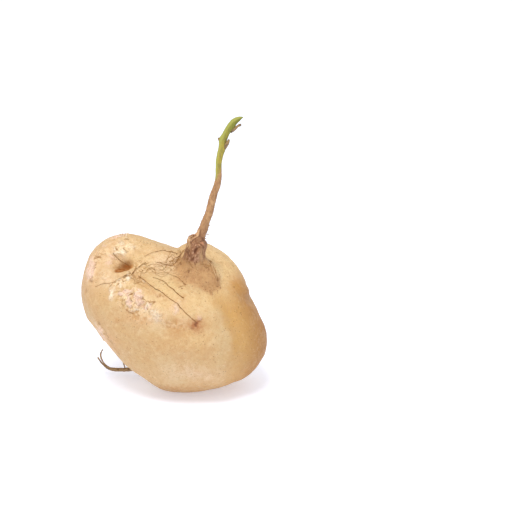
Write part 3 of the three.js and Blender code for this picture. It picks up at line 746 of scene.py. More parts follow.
def make_small(node, name, slot, amount, size, swell=0.0, pinch=0.0, aside=0.0):
    """A small CAD piece, made round, thicker by swell (mm) and given an uneven bark. At the split it
    is thinner by pinch (mm) and moved aside (mm)."""
    mesh = finer_copy(node)
    points = read(mesh)
    split = bell(np.linalg.norm(points / MM - SPLIT, axis=1), SPLIT_REACH)
    bark = grain(points, size, 3, 1.9) + 0.5 * creases(points, 0.8 * size, 2, 4.2)
    relief = swell - pinch * split + amount * bark
    shift = (aside * split)[:, None] * SPLIT_WAY
    write_points(mesh, points + (read(mesh, "normal") * relief[:, None] + shift) * MM)
    return new_piece(name, mesh, slot, node)


stubs = [
    make_small("petiole_stub_low", "stub_low_bark", "bark", 0.16, 1.6, 0.25),
    make_small("petiole_stub_high", "stub_high_bark", "bark", 0.14, 1.6, 0.15),
    make_small("scale_low", "scale_low_bark", "bark", 0.12, 1.2, 0.35),
]
tails = [
    make_small("tail_root", "tail_root_bark", "root", 0.2, 1.8, 0.08, 0.4, -0.15),
    make_small("tail_root_fork", "tail_fork_bark", "root", 0.12, 1.5, 0.12, 0.42, 0.3),
    make_small("tail_rootlet", "tail_rootlet_bark", "root", 0.08, 1.0),
]

# ---------------------------------------------------------------- feeder roots and hairs

# Each feeder root in turn: its name, its thickness at both ends (mm), and its route, across and
# up the face.
THREADS = [
    ("thread_long", 0.26, 0.34, [(-21.7, 25.8), (-18.4, 23.7), (-15, 21.2), (-11, 17.8), (-7.4, 16.3),
        (-2, 12.3), (2.5, 9), (6.1, 5.6), (10.9, 0.8), (14.9, -2.7)]),
    ("thread_thick", 0.18, 0.42, [(-12.4, 24.9), (-9.4, 23.9), (-6.4, 22.4), (-3.7, 20.7), (-0.9, 18.6),
        (2.6, 15.6), (5.5, 13.1), (7.2, 12)]),
    ("thread_to_neck", 0.2, 0.3, [(-10.5, 34.1), (-5.7, 33), (-1.3, 32.3), (0.9, 33.5), (3, 35.9),
        (4, 37.6), (6.1, 42.1)]),
    ("thread_arc", 0.3, 0.16, [(1.9, 39.4), (0.9, 40.6), (-3.5, 41.1), (-6, 41.8), (-8.8, 41.5),
        (-14.1, 39.9), (-18.5, 37.9)]),
    ("thread_short", 0.16, 0.22, [(-25.9, 26.5), (-22.4, 30.9), (-20, 32.8), (-17.7, 33.8)]),
    ("thread_middle", 0.12, 0.2, [(-9.3, 30.6), (-6.8, 29.1), (-3.5, 27.4), (-0.5, 26.3), (3.3, 24.4),
        (5.8, 22.5), (8.5, 20.3)]),
    ("thread_left", 0.14, 0.2, [(-49.5, 19), (-46.6, 20), (-43.2, 20.9), (-39.6, 21.3), (-37.2, 22),
        (-35.3, 23.1), (-33.2, 24.4), (-28.7, 26)]),
    ("thread_navel", 0.22, 0.3, [(-38.3, 40.3), (-35, 36.4), (-31.1, 33.9), (-28.6, 32.6)]),
    ("thread_right", 0.26, 0.24, [(23, 34.6), (24.8, 32), (26.7, 28.2), (28.3, 22.5)]),
]

# Steps along a hair that lies on the skin (mm). At a longer one it would leap over a hollow.
THREAD_STEP = 0.5
SHORTEST_STEP = 0.2
LONGEST_STEP = 1.8


def skin_line(route, thickness, hop, seed):
    """A route on the face laid on the skin, just proud of it, with small loose stretches."""
    flat = smooth_line(route, THREAD_STEP)
    line = []
    for k, (across, up) in enumerate(flat):
        wave = noise.fractal(Vector((k * 0.09, seed, 0.5)), 1.0, 2.0, 2)
        wander = noise.fractal(Vector((k * 0.11, seed, 7.5)), 1.0, 2.0, 2)
        spot, way = touch(across + 0.4 * wander, up + 0.4 * wave)
        place = spot + way * (thickness * 0.55 + hop * max(0.0, wave + 0.15)) * MM
        gap = np.linalg.norm(place - line[-1]) if line else THREAD_STEP * MM
        if gap < SHORTEST_STEP * MM:
            continue
        if gap > LONGEST_STEP * MM:
            if len(line) > len(flat) / 2:
                break
            line = []
        line.append(place)
    line = np.array(line)
    inner = (line[:-2] + 2 * line[1:-1] + line[2:]) / 4
    return np.vstack([line[:1], inner, line[-1:]])


def make_thread(k, name, start, end, route):
    line = skin_line(route, max(start, end), 0.8, 3.7 * k)
    share = np.linspace(0, 1, len(line))
    radii = 0.68 * (start + (end - start) * share) * (1 + 0.2 * np.sin(share * 47 + k)) * MM
    tubes = Tubes()
    tubes.add(line, radii)
    return new_piece(name, tubes.mesh(name), "root", f"feeder_root_{k + 1}")


threads = [make_thread(k, *row) for k, row in enumerate(THREADS)]

# Finer hairs that lie on the skin: thickness (mm) and route.
HAIRS = [
    (0.17, [(8.3, 43), (6.1, 41.1), (5.1, 39.7), (3.9, 38.5), (2.7, 37.3), (0.9, 36.5), (-0.1, 35.5)]),
    (0.16, [(4.9, 37.3), (3.9, 36.1), (2.5, 34.7), (0.9, 33.3), (-0.3, 32.5), (-1.1, 32.5)]),
    (0.2, [(-1.5, 37.7), (-0.5, 37.1), (-0.1, 35.9), (-0.7, 34.5)]),
    (0.13, [(-2.3, 35.5), (-1.1, 35.3), (0, 35.7)]),
    (0.11, [(-4.1, 38.7), (-3.3, 37.5), (-2.3, 38.1), (-1.5, 39.3), (-0.7, 39.1)]),
    (0.11, [(-3.3, 37.5), (-3.9, 35.9), (-4.5, 34.3), (-4.9, 33.1)]),
    (0.12, [(-3.7, 32.9), (-2.7, 33.1), (-2.1, 32.1), (-1.5, 31.1)]),
    (0.11, [(-3.7, 32.9), (-4.7, 31.9), (-5.5, 30.7)]),
    (0.1, [(-0.7, 38.9), (0.7, 37.9), (1.9, 37.3)]),
    (0.1, [(-22.7, 35.1), (-20.7, 34.9), (-19.7, 34.5)]),
    (0.09, [(-22.7, 29.9), (-21.5, 31.1), (-19.7, 32.7), (-17.9, 33.1), (-16.1, 33.9), (-14.3, 34.9)]),
    (0.11, [(-20.7, 27.5), (-18.9, 27.7), (-17.5, 27.5), (-16.5, 28.9), (-15.9, 29.9), (-13.9, 30.3),
        (-11.7, 30.1), (-11.5, 28.7), (-10.7, 27.3), (-10.5, 25.9)]),
    (0.12, [(8.7, 19.5), (6.3, 19.5), (4.9, 18.7), (3.9, 17.9)]),
    (0.1, [(1.2, 42.9), (0, 44.1), (-1.7, 44.9), (-3.6, 45.3)]),
    (0.12, [(-39.8, 18.7), (-38.4, 20.3), (-37.2, 22)]),
    (0.13, [(-27.8, 28.7), (-26.5, 27.4), (-25.3, 26.1), (-23.3, 25.2)]),
    (0.1, [(-24.6, 31.6), (-22.9, 30.6), (-24.6, 28.4), (-25.9, 25.8)]),
    (0.12, [(-26.5, 25.2), (-23.3, 23.9), (-20.8, 22.3), (-17.2, 21)]),
    (0.1, [(-17.6, 33.5), (-20.1, 32.2), (-22.4, 30), (-24.6, 27.4), (-28, 25.6), (-32, 24)]),
    (0.09, [(-24, 27.4), (-19.5, 29.2), (-14.5, 32.8), (-10, 33)]),
    (0.09, [(-26.4, 24.2), (-24.4, 23.2), (-20, 20.4), (-15.4, 17.8)]),
    (0.13, [(8.6, 37.2), (10.6, 34.3), (13.1, 31.1)]),
    (0.14, [(9.3, 27.9), (9.6, 29.8), (11.8, 30.1)]),
    (0.12, [(17.3, 33), (20.5, 33), (23.1, 32.4)]),
    (0.13, [(21.1, 36.5), (23.7, 34.3), (25.9, 30.1), (27.5, 25.6), (28.8, 23.1)]),
    (0.1, [(22.8, 33), (24, 31), (24.6, 28.4), (26.8, 25.8)]),
    (0.12, [(22.6, 36), (24.6, 33.8), (25.8, 34.6)]),
    (0.11, [(23.2, 32.6), (24.6, 34.4), (23.6, 35.4)]),
]

# Pale strands beside the feeder roots: pale roots that also serve as painted highlights along
# them. Thickness (mm) and route.
STRANDS = [
    (0.2, [(-37, 21.4), (-34.6, 23.2), (-31, 25.4), (-27.6, 27.6)]),
    (0.3, [(-31.4, 25), (-29.4, 26.4), (-27, 27.9)]), (0.24, [(-19.6, 23), (-18.4, 22.2), (-17, 21.4)]),
    (0.16, [(-27.6, 24.8), (-26.4, 26.2), (-25.4, 27.6)]),
    (0.16, [(-27.8, 26), (-24.6, 28.8), (-21.6, 31)]), (0.14, [(-34, 24.8), (-30.6, 26.4), (-27.4, 28.6)]),
    (0.16, [(-19.6, 23.4), (-16.4, 21.2), (-12.4, 18.2)]),
    (0.14, [(-24.6, 24.2), (-21.4, 22.4), (-17.4, 20.6)]), (0.14, [(-1.6, 33.2), (1.2, 35), (3.4, 38)]),
    (0.2, [(21.6, 35.6), (23.4, 33.4), (25.2, 30), (26.8, 26), (27.8, 23.8)]),
    (0.16, [(24.6, 33.4), (26.4, 30.4), (28, 27)]), (0.14, [(6.4, 24.4), (3.4, 26.6), (0.4, 27.8)]),
    (0.14, [(3, 31), (0, 32), (-3, 31)]),
]

SWEPT_HAIRS = 11


def swept_hairs():
    """Long fine hairs swept from the foot of the neck towards the navel."""
    rng = np.random.default_rng(29)
    hairs = []
    for _ in range(SWEPT_HAIRS):
        x, y = rng.uniform(-6, 3), rng.uniform(27, 38)
        end_x, end_y = rng.uniform(-28, -14), rng.uniform(26, 36)
        share = rng.uniform(0.35, 0.8)
        end_x, end_y = x + (end_x - x) * share, y + (end_y - y) * share
        bow = rng.normal() * 2.2
        first = ((2 * x + end_x) / 3, (2 * y + end_y) / 3 + bow)
        second = ((x + 2 * end_x) / 3, (y + 2 * end_y) / 3 + 0.7 * bow)
        hairs.append((rng.uniform(0.05, 0.08), [(x, y), first, second, (end_x, end_y)]))
    return hairs


def make_hairs(name, rows, hop, seed_step, seed, full, thinning):
    """Rows of hairs on the skin, which are thickest in the middle and thin to both ends."""
    tubes = Tubes()
    for k, (thickness, route) in enumerate(rows):
        line = skin_line(route, thickness, hop, seed_step * k + seed)
        share = np.linspace(0, 1, len(line))
        if len(line) > 3:
            tubes.add(line, thickness * (full - thinning * np.abs(2 * share - 1) ** 3) * MM)
    return tubes.mesh(name)


# Tangles of short curled hairs: across, up, spread, how many, and length (mm).
TANGLES = [
    (-1.5, 36.8, 2.6, 6, 6), (1.5, 35.4, 2.4, 5, 4), (4.6, 40, 2, 4, 4), (-23, 26, 4, 10, 6),
    (23.6, 33.2, 1.7, 9, 4), (-1, 31, 4, 5, 4), (4.5, 26, 5, 7, 3),
]
TANGLE_STEP = 0.7
HAIR_SIDES = 5


def make_tangles():
    rng = np.random.default_rng(41)
    tubes = Tubes()
    for across, up, spread, count, length in TANGLES:
        for _ in range(count):
            x, y = across + rng.normal() * spread * 0.6, up + rng.normal() * spread * 0.6
            heading, bend = rng.uniform(0, 2 * math.pi), rng.normal() * 0.35
            route = []
            for _ in range(int(length * rng.uniform(0.5, 1.2) / TANGLE_STEP)):
                route.append((x, y))
                heading += bend + rng.normal() * 0.25
                x, y = x + TANGLE_STEP * math.cos(heading), y + TANGLE_STEP * math.sin(heading)
            if len(route) > 2:
                thickness = rng.uniform(0.07, 0.12)
                line = skin_line(route, thickness, 1.1, rng.uniform(0, 90))
                if len(line) > 3:
                    tubes.add(line, thickness * MM, HAIR_SIDES)
    return tubes.mesh("hair_tangles")


STEM_WHISKERS = 26
NECK_WHISKERS = 26

# Roots of stiff hairs on the top of the tuber: across and up the face.
TOP_WHISKERS = [
    (-20, 51.6), (-16, 51), (-17.4, 51.4), (-9.6, 49), (-31.8, 52.6), (-33.5, 52.2), (-35, 51.8), (-6, 47),
    (-13.6, 50.4), (-24.4, 52.4), (-46.4, 46.6),
]

# Short stiff points of bark on the foot of the stem: root, way, length and thickness (mm).
BARK_POINTS = [
    ((14.2, -26.8, 115.2), (1, -0.15, 0.6), 2.2, 0.45), ((8.8, -26.9, 112.4), (-1, -0.2, 0.5), 1.6, 0.4),
    ((13.9, -27, 110.2), (1, -0.3, 0.1), 1.3, 0.34), ((12.8, -28, 107.6), (0.8, -0.5, 0.4), 1.5, 0.34),
]


def add_whisker(tubes, rng, root, way, length, thickness):
    way = unit(np.array(way, float))
    droop = rng.normal(size=3) * 0.25
    knots = [root - way * 0.3 * MM, root + way * 0.4 * length * MM,
             root + (way + 0.5 * droop) * 0.75 * length * MM, root + (way + droop) * length * MM]
    line = smooth_line(knots, 0.3 * MM)
    tubes.add(line, np.linspace(thickness, 0.35 * thickness, len(line)) * MM, HAIR_SIDES)


def make_whiskers():
    """Short stiff hairs that stand off the neck, the foot of the stem and the top of the tuber."""
    rng = np.random.default_rng(17)
    tubes = Tubes()
    for k in range(STEM_WHISKERS):
        low, high = (STEM[2], STEM[5]) if k % 3 else (STEM[4], STEM[7])
        t = rng.uniform(0, 1)
        *centre, radius = np.array(low) * (1 - t) + np.array(high) * t
        turn = rng.uniform(0, 2 * math.pi)
        outward = np.array([math.cos(turn), math.sin(turn), 0])
        way = outward + [0, 0, rng.uniform(-0.2, 0.9)]
        root = (centre + radius * outward) * MM
        add_whisker(tubes, rng, root, way, rng.uniform(0.7, 1.8), rng.uniform(0.1, 0.17))
    for _ in range(NECK_WHISKERS):
        spot, way = touch(rng.uniform(5, 22), rng.uniform(30, 54))
        height, off_axis = neck_shares(spot[None, :])
        if off_axis[0] < 13 and height[0] > 2:
            way = way + rng.normal(size=3) * 0.5
            add_whisker(tubes, rng, spot, way, rng.uniform(0.4, 1.1), rng.uniform(0.07, 0.12))
    for across, up in TOP_WHISKERS:
        spot, way = touch(across, up)
        way = way + rng.normal(size=3) * 0.3 + UP_FACE * 0.6
        add_whisker(tubes, rng, spot, way, rng.uniform(1.1, 2.2), 0.15)
    for root, *shape in BARK_POINTS:
        add_whisker(tubes, rng, np.array(root) * MM, *shape)
    return tubes.mesh("whiskers")


# pale roots that also serve as painted highlights beside the feeder roots
strands = new_piece("pale_strands", make_hairs("pale_strands", STRANDS, 0.7, 4.1, 2.9, 1.1, 0.7), "root")
fine_rows = HAIRS + swept_hairs()
hairs = new_piece("fine_hairs", make_hairs("fine_hairs", fine_rows, 0.9, 5.3, 1.4, 1.15, 0.6), "root")
tangles = new_piece("hair_tangles", make_tangles(), "root")
whiskers = new_piece("whiskers", make_whiskers(), "root")


# ---------------------------------------------------------------- bark shreds on the neck

# Thin curled strips of loose bark: across, up, length, width (mm), and heading on the face (degrees).
SHREDS = [
    (19.6, 50.2, 2.4, 0.8, 70), (20.2, 47.6, 2.6, 0.9, 60), (16.6, 51.4, 2.2, 0.7, 110),
    (8.2, 46.6, 2.4, 0.8, 112), (12.2, 44.4, 2.2, 0.8, 100), (17.8, 41, 2.2, 0.7, 75),
    (10.2, 41.6, 2, 0.7, 96), (15.4, 37.6, 1.8, 0.6, 80),
]
SHRED_THICKNESS = 0.2

# The loose flake left of the stem's foot: across, up, out of the face, and half its width (mm).
FLAKE = [
    (16, 50.6, 41.6, 1.2), (14.8, 51.4, 41.9, 1.6), (13.4, 51.7, 42.1, 1.8), (12.2, 51.4, 42.2, 1.5),
    (11.2, 50.9, 42.2, 1), (10.3, 50.5, 42, 0.5),
]
FLAKE_THICKNESS = 0.65
FLAKE_STEP = 0.35


def add_ribbon(shell, line, sides, ups, thickness):
    """A closed strip: its middle line, the reach to each side and the way its face looks (rows)."""
    rows = []
    for centre, side, way in zip(line, sides, ups):
        bases = [centre + way * 0.25 * (1 - share**2) * MM + side * share for share in (-1, -0.4, 0.4, 1)]
        half = way * thickness / 2
        rows.append([(shell.verts.new(base + half), shell.verts.new(base - half)) for base in bases])
    for low, high in zip(rows[:-1], rows[1:]):
        for a, b, d, e in zip(low[:-1], low[1:], high[:-1], high[1:]):
            shell.faces.new((a[0], b[0], e[0], d[0]))
            shell.faces.new((a[1], d[1], e[1], b[1]))
        for edge, way in ((0, 1), (-1, -1)):
            shell.faces.new((low[edge][0], high[edge][0], high[edge][1], low[edge][1])[::way])
    for row, way in ((rows[0], -1), (rows[-1], 1)):
        for a, b in zip(row[:-1], row[1:]):
            shell.faces.new((a[0], b[0], b[1], a[1])[::way])


def ribbon_mesh(name, ribbons):
    shell = bmesh.new()
    for ribbon in ribbons:
        add_ribbon(shell, *ribbon)
    bmesh.ops.recalc_face_normals(shell, faces=shell.faces)
    mesh = bpy.data.meshes.new(name)
    shell.to_mesh(mesh)
    shell.free()
    return mesh


def shred_ribbons():
    rng = np.random.default_rng(5)
    ribbons = []
    for across, up, length, width, heading in SHREDS:
        c, s = math.cos(math.radians(heading)), math.sin(math.radians(heading))
        curl = rng.uniform(0.2, 0.7)
        line, sides, ups = [], [], []
        for t in np.linspace(0, 1, 7):
            spot, way = touch(across + c * length * (t - 0.3), up + s * length * (t - 0.3))
            side = unit(np.cross(way, c * ACROSS + s * UP_FACE))
            half = 0.5 * width * (1 - 0.6 * t**2) * (1 + 0.15 * rng.normal())
            place = spot + way * (0.1 + curl * t**2) * MM
            if line and np.linalg.norm(place - line[-1]) > LONGEST_STEP * MM:
                break
            line.append(place)
            sides.append(side * half * MM)
            ups.append(way)
        if len(line) > 3:
            ribbons.append((line, sides, ups, SHRED_THICKNESS * MM))
    return ribbons


def flake_ribbon():
    rows = smooth_line(FLAKE, FLAKE_STEP)
    line = np.array([from_face(*row[:3]) for row in rows])
    sides, ups = [], []
    for k, (way, row) in enumerate(zip(np.gradient(line, axis=0), rows)):
        way = unit(way)
        side = unit(OUT_OF_FACE - way * (OUT_OF_FACE @ way))
        up = np.cross(way, side)
        ups.append(up if up[2] > 0 else -up)
        sides.append(side * row[3] * (1 + 0.1 * math.sin(2.1 * k)) * MM)
    return line, sides, ups, FLAKE_THICKNESS * MM


flake = new_piece("flake_bark", ribbon_mesh("flake_bark", [flake_ribbon()]), "bark", "bark_flake")
shreds = new_piece("bark_shreds", ribbon_mesh("bark_shreds", shred_ribbons()), "bark")


# ---------------------------------------------------------------- materials


class Shader:
    """One node material, built a node at a time. A value given to a node is a number, a colour,
    another node's output or the name of a mark. Lengths are in millimetres."""

    SCATTER_RGB = (1.0, 0.5, 0.25)
    SCATTER_DEPTH = 2.5

    def __init__(self, name):
        self.material = bpy.data.materials.new(name)
        self.material.use_nodes = True
        self.tree = self.material.node_tree
        self.surface = self.tree.nodes["Principled BSDF"]
        self.places = self.node("TexCoord", "Object", {})

    def node(self, kind, output, inputs, **settings):
        node = self.tree.nodes.new("ShaderNode" + kind)
        for name, value in settings.items():
            setattr(node, name, value)
        for name, value in inputs.items():
            self.give(node.inputs[name], value)
        return node.outputs[output]

    def give(self, socket, value):
        if isinstance(value, str):
            value = self.node("Attribute", "Fac", {}, attribute_name=value)
        if isinstance(value, bpy.types.NodeSocket):
            self.tree.links.new(value, socket)
        elif socket.type == "RGBA":
            socket.default_value = (*value, 1)
        else:
            socket.default_value = value

    def scaled(self, size, stretch):
        scale = [share / (size * MM) for share in stretch]
        return self.node("Mapping", "Vector", {"Vector": self.places, "Scale": scale})

    def noise(self, size, detail=3, roughness=0.55, distortion=0.0, stretch=(1, 1, 1)):
        inputs = {"Vector": self.scaled(size, stretch), "Scale": 1, "Detail": detail}
        return self.node("TexNoise", "Fac", {**inputs, "Roughness": roughness, "Distortion": distortion})

    def cells(self, size, stretch=(1, 1, 1)):
        return self.node("TexVoronoi", "Distance", {"Vector": self.scaled(size, stretch), "Scale": 1})

    def maths(self, kind, a, b):
        return self.node("Math", 0, {0: a, 1: b}, operation=kind)

    def times(self, first, *others):
        for other in others:
            first = self.maths("MULTIPLY", first, other)
        return first

    def between(self, value, low, high, to_low=0.0, to_high=1.0):
        """value as a share from to_low, at low, to to_high, at high, smoothly."""
        inputs = {"Value": value, "From Min": low, "From Max": high, "To Min": to_low, "To Max": to_high}
        return self.node("MapRange", "Result", inputs, interpolation_type="SMOOTHSTEP")

    def mix(self, share, a, b, blend="MIX"):
        return self.node("Mix", 2, {0: share, 6: a, 7: b}, data_type="RGBA", blend_type=blend)

    def layers(self, colour, *rows):
        """A colour with others laid over it in turn. A row: share, colour and, if need be, blend."""
        for share, *row in rows:
            colour = self.mix(share, colour, *row)
        return colour

    def bumps(self, *rows):
        """A normal that those rows of height and depth roughen, one after another."""
        normal = None
        for height, depth in rows:
            inputs = {"Strength": 1, "Distance": depth * MM, "Height": height}
            normal = self.node("Bump", "Normal", {**inputs, "Normal": normal} if normal else inputs)
        return normal

    def finish(self, colour, roughness, normal, specular=0.3, scatter=0.0):
        inputs = {"Base Color": colour, "Roughness": roughness, "Normal": normal}
        inputs["Specular IOR Level"] = specular
        if scatter:
            inputs["Subsurface Weight"] = scatter
            inputs["Subsurface Radius"] = self.SCATTER_RGB
            inputs["Subsurface Scale"] = self.SCATTER_DEPTH * MM
        for name, value in inputs.items():
            self.give(self.surface.inputs[name], value)
        return self.material


def light(red, green, blue):
    """A colour given as it shows on screen, 0 to 255, as the shader's linear light."""
    return tuple(((c / 255 + 0.055) / 1.055) ** 2.4 for c in (red, green, blue))


TAN = light(204, 174, 128)
TAN_WARM = light(201, 163, 112)
TAN_PALE = light(218, 190, 146)
CREAM = light(222, 190, 138)
SUNLIT = light(238, 204, 150)
BLUSH = light(214, 166, 124)
WEATHERED = light(186, 139, 87)
GOLDEN = light(198, 150, 82)
CHALK = light(228, 200, 168)
FLANK_OCHRE = light(150, 90, 16)
PINK = light(240, 206, 182)
PAPERY = light(240, 212, 180)
WHITE_SCAB = light(246, 228, 198)
CREST_PALE = light(242, 214, 172)
RIM_BROWN = light(150, 106, 60)
SPECK = (0.42, 0.34, 0.24)
HOLLOW_BROWN = light(204, 148, 86)
DEEPEST_BROWN = light(156, 98, 48)
HALO_BROWN = light(166, 106, 64)
SCAR_BROWN = light(124, 72, 42)
CROWN_TAN = light(192, 149, 101)
CROWN_BROWN = light(172, 128, 84)
CROWN_PALE = light(214, 174, 124)
NECK_BROWN = light(156, 110, 76)
NECK_DARK = light(118, 74, 48)
NECK_SHADE = light(132, 84, 56)
NECK_OLIVE = light(200, 158, 110)
NECK_MAUVE = light(182, 138, 118)
NECK_ROSY = light(206, 142, 104)
NECK_PINK = light(206, 160, 132)
NECK_PEACH = light(226, 184, 138)
NECK_FLECK = light(208, 162, 126)
PIT_BROWN = light(112, 66, 40)
STEM_BROWN = light(172, 131, 91)
STEM_DARK = light(138, 98, 68)
STEM_OLIVE = light(170, 152, 62)
STEM_GREEN = light(116, 122, 46)
STEM_PALE = light(166, 166, 84)


def plain_skin(s, blotch, mottle, grit):
    """The skin's tan, with its tones, painted light and shade, worn places and specks."""
    worn = s.times(s.between(s.noise(8, 6, 0.75, 0.6), 0.51, 0.58), s.between(s.noise(26, 2), 0.4, 0.55))
    scuffs = s.times(s.between(s.noise(3.4, 5, 0.7, 1), 0.55, 0.68), s.between(s.noise(14, 2), 0.42, 0.6))
    specks = s.between(s.cells(2.3, (1, 1, 1.5)), 0.12, 0.22, 1, 0)
    fine_specks = s.between(s.cells(1.15, (1, 1, 1.5)), 0.12, 0.24, 1, 0)
    colour = s.layers(
        s.mix(s.between(s.noise(30, 3), 0.35, 0.65), TAN, TAN_WARM),
        (s.between(blotch, 0.45, 0.75, 0, 0.6), TAN_PALE),
        # painted light: cream where the skin lies in shade
        (s.times("bright", 0.75), CREAM),
        (s.times("lit", 0.6), SUNLIT),
        (s.times("blush", 0.75), BLUSH),
        # weathered browner patches, with painted shade under the hair cluster
        (s.times("tan", s.between(mottle, 0.36, 0.6, 0.5, 0.95)), WEATHERED),
        # painted shade past the ridge, yellow-brown
        (s.times("golden", 0.8), GOLDEN),
        # paler chalk-white skin, with painted light where the skin lies in shade
        (s.times("chalky", 0.5), CHALK),
        # painted shade and reflected brown along the right edge
        (s.times("flank", s.between(mottle, 0.34, 0.62, 0.65, 0.85)), FLANK_OCHRE),
        (s.times(worn, 0.45), light(192, 150, 100)),
        (s.between(mottle, 0.48, 0.7, 0, 0.42), light(194, 148, 98)),
        (s.between(mottle, 0.3, 0.46, 0.12, 0), light(230, 204, 162)),
        (s.between(grit, 0.5, 0.7, 0, 0.6), light(182, 138, 88)),
        (s.times(scuffs, 0.4), light(192, 148, 98)),
        (s.times(specks, s.between(s.noise(7, 2), 0.46, 0.62), 0.75), SPECK, "MULTIPLY"),
        (s.times(fine_specks, s.between(s.noise(3.1, 2), 0.46, 0.64), 0.6), SPECK, "MULTIPLY"),
    )
    return colour, specks


def scabbed_skin(s, colour, mottle, flaky, scabs):
    """The rumpled skin, scabs, cracks, the navel's painted shade and the scar over the plain skin,
    with painted highlights on the crests and painted shade in the splits.
    """
    wisps = s.between(s.noise(2.1, 5, 0.68, 1.3), 0.53, 0.64)
    shift = s.times(s.maths("SUBTRACT", flaky, 0.5), 1.2)
    pink = s.between(s.maths("ADD", "scab_pink", s.times(shift, 0.7)), 0.02, 0.7, 0, 0.9)
    pale = s.between(s.maths("ADD", "scab_pale", shift), 0.1, 0.85, 0, 0.9)
    split = s.times(s.between(s.noise(2.4, 3, 0.6, 1.5), 0.56, 0.62), s.between(scabs, 0.1, 0.5))
    broken = s.between(s.noise(1.3, 3, 0.6), 0.36, 0.56, 0.35, 0.85)
    return s.layers(
        colour,
        # painted highlight on the crests of the rumpled skin
        (s.times("crests", s.between(flaky, 0.34, 0.58, 0.3, 0.9)), CREST_PALE),
        # painted shade in the splits of the rumpled skin
        (s.between("splits", 0.25, 0.9, 0, 0.75), light(178, 132, 84)),
        (s.times(wisps, "rumpled", 0.6), light(188, 142, 94)),
        (s.times(scabs, 0.45), PAPERY),
        (s.times(pink, s.between("scab_pink", 0.03, 0.25)), PINK),
        (s.times(pale, s.between("scab_pale", 0.03, 0.25)), WHITE_SCAB),
        (s.times(split, 0.5), light(196, 150, 102)),
        (s.times(s.between("cracks", 0.2, 0.85), broken), RIM_BROWN),
        # painted shade inside the navel, darkest just above the lip
        (s.between("hollow", 0.1, 0.9, 0, 0.85), HOLLOW_BROWN),
        (s.times(s.between("deepest", 0.2, 0.9), s.between(mottle, 0.38, 0.56, 0.6, 1)), DEEPEST_BROWN),
        (s.times("halo", s.between(mottle, 0.36, 0.6, 0.7, 1)), HALO_BROWN),
        (s.between("scar", 0.15, 0.9, 0, 0.85), SCAR_BROWN),
    )


def neck_skin(s, colour, blotch, mottle):
    """The corky crown and the neck, with their dots, painted highlights, furrows and pits, over the skin."""
    streak = s.noise(1.5, 5, 0.7, 0.5, (1, 1, 0.8))
    neck = s.layers(
        NECK_BROWN,
        (s.between(streak, 0.46, 0.34, 0, 0.75), NECK_PINK),
        (s.times("mauve", 0.3), NECK_MAUVE),
        (s.between(streak, 0.5, 0.64, 0, 0.85), NECK_DARK),
        (s.times("shade", s.between(streak, 0.36, 0.6, 0.4, 1)), NECK_SHADE),
        # yellowish tan, with a painted highlight left of the neck
        (s.times("olive", s.between(streak, 0.36, 0.6, 0.9, 0.7)), NECK_OLIVE),
    )
    crown = s.layers(
        s.mix(s.between(blotch, 0.38, 0.66), CROWN_TAN, CROWN_BROWN),
        (s.between(mottle, 0.5, 0.7, 0, 0.4), NECK_BROWN),
        (s.between(s.noise(1.1, 4, 0.7, 0, (1, 1, 0.35)), 0.5, 0.7, 0, 0.35), CROWN_PALE),
        (s.between("neck", 0.25, 0.85), neck),
    )
    dots = s.between(s.cells(1.6), 0.2, 0.32, 1, 0)
    dotted = s.times(dots, s.times("rim", s.between(s.noise(3.4, 2), 0.4, 0.52)))
    return s.layers(
        colour,
        (s.between("crown", 0, 0.8, 0, 0.95), crown),
        (s.times(dotted, 0.8), light(138, 94, 58)),
        # the leaf scar's orange streak and a painted pink highlight
        (s.between("rosy", 0.2, 0.8, 0, 0.6), NECK_ROSY),
        # pale skin with a painted highlight on the buttress
        (s.between("peach", 0.2, 0.8, 0, 0.85), NECK_PEACH),
        (s.between("furrow", 0.3, 0.9, 0, 0.75), NECK_DARK),
        # painted highlights on the neck, pale pink
        (s.between("fleck", 0.2, 0.9, 0, 0.75), NECK_FLECK),
        (s.between("pits", 0.3, 1.05, 0, 0.9), PIT_BROWN),
    )


def skin_material():
    s = Shader("jicama_skin")
    blotch = s.noise(8, 4, 0.6)
    mottle = s.noise(2.2, 4, 0.65)
    grit = s.noise(0.55, 3, 0.7)
    flaky = s.noise(1.5, 5, 0.7, 0.8)
    scabs = s.maths("ADD", "scab_pale", "scab_pink")
    colour, specks = plain_skin(s, blotch, mottle, grit)
    colour = neck_skin(s, scabbed_skin(s, colour, mottle, flaky, scabs), blotch, mottle)
    barky = s.times(s.noise(0.9, 5, 0.75), s.times("crown", s.between("neck", 0, 0.7, 0.3, 1)))
    papery = s.times(flaky, s.between(scabs, 0.05, 0.5))
    normal = s.bumps((s.noise(1.5, 5, 0.65), 0.2), (grit, 0.08), (specks, 0.05), (barky, 0.6), (papery, 0.7))
    return s.finish(colour, s.between(mottle, 0.3, 0.7, 0.5, 0.66), normal, 0.22, 0.06)


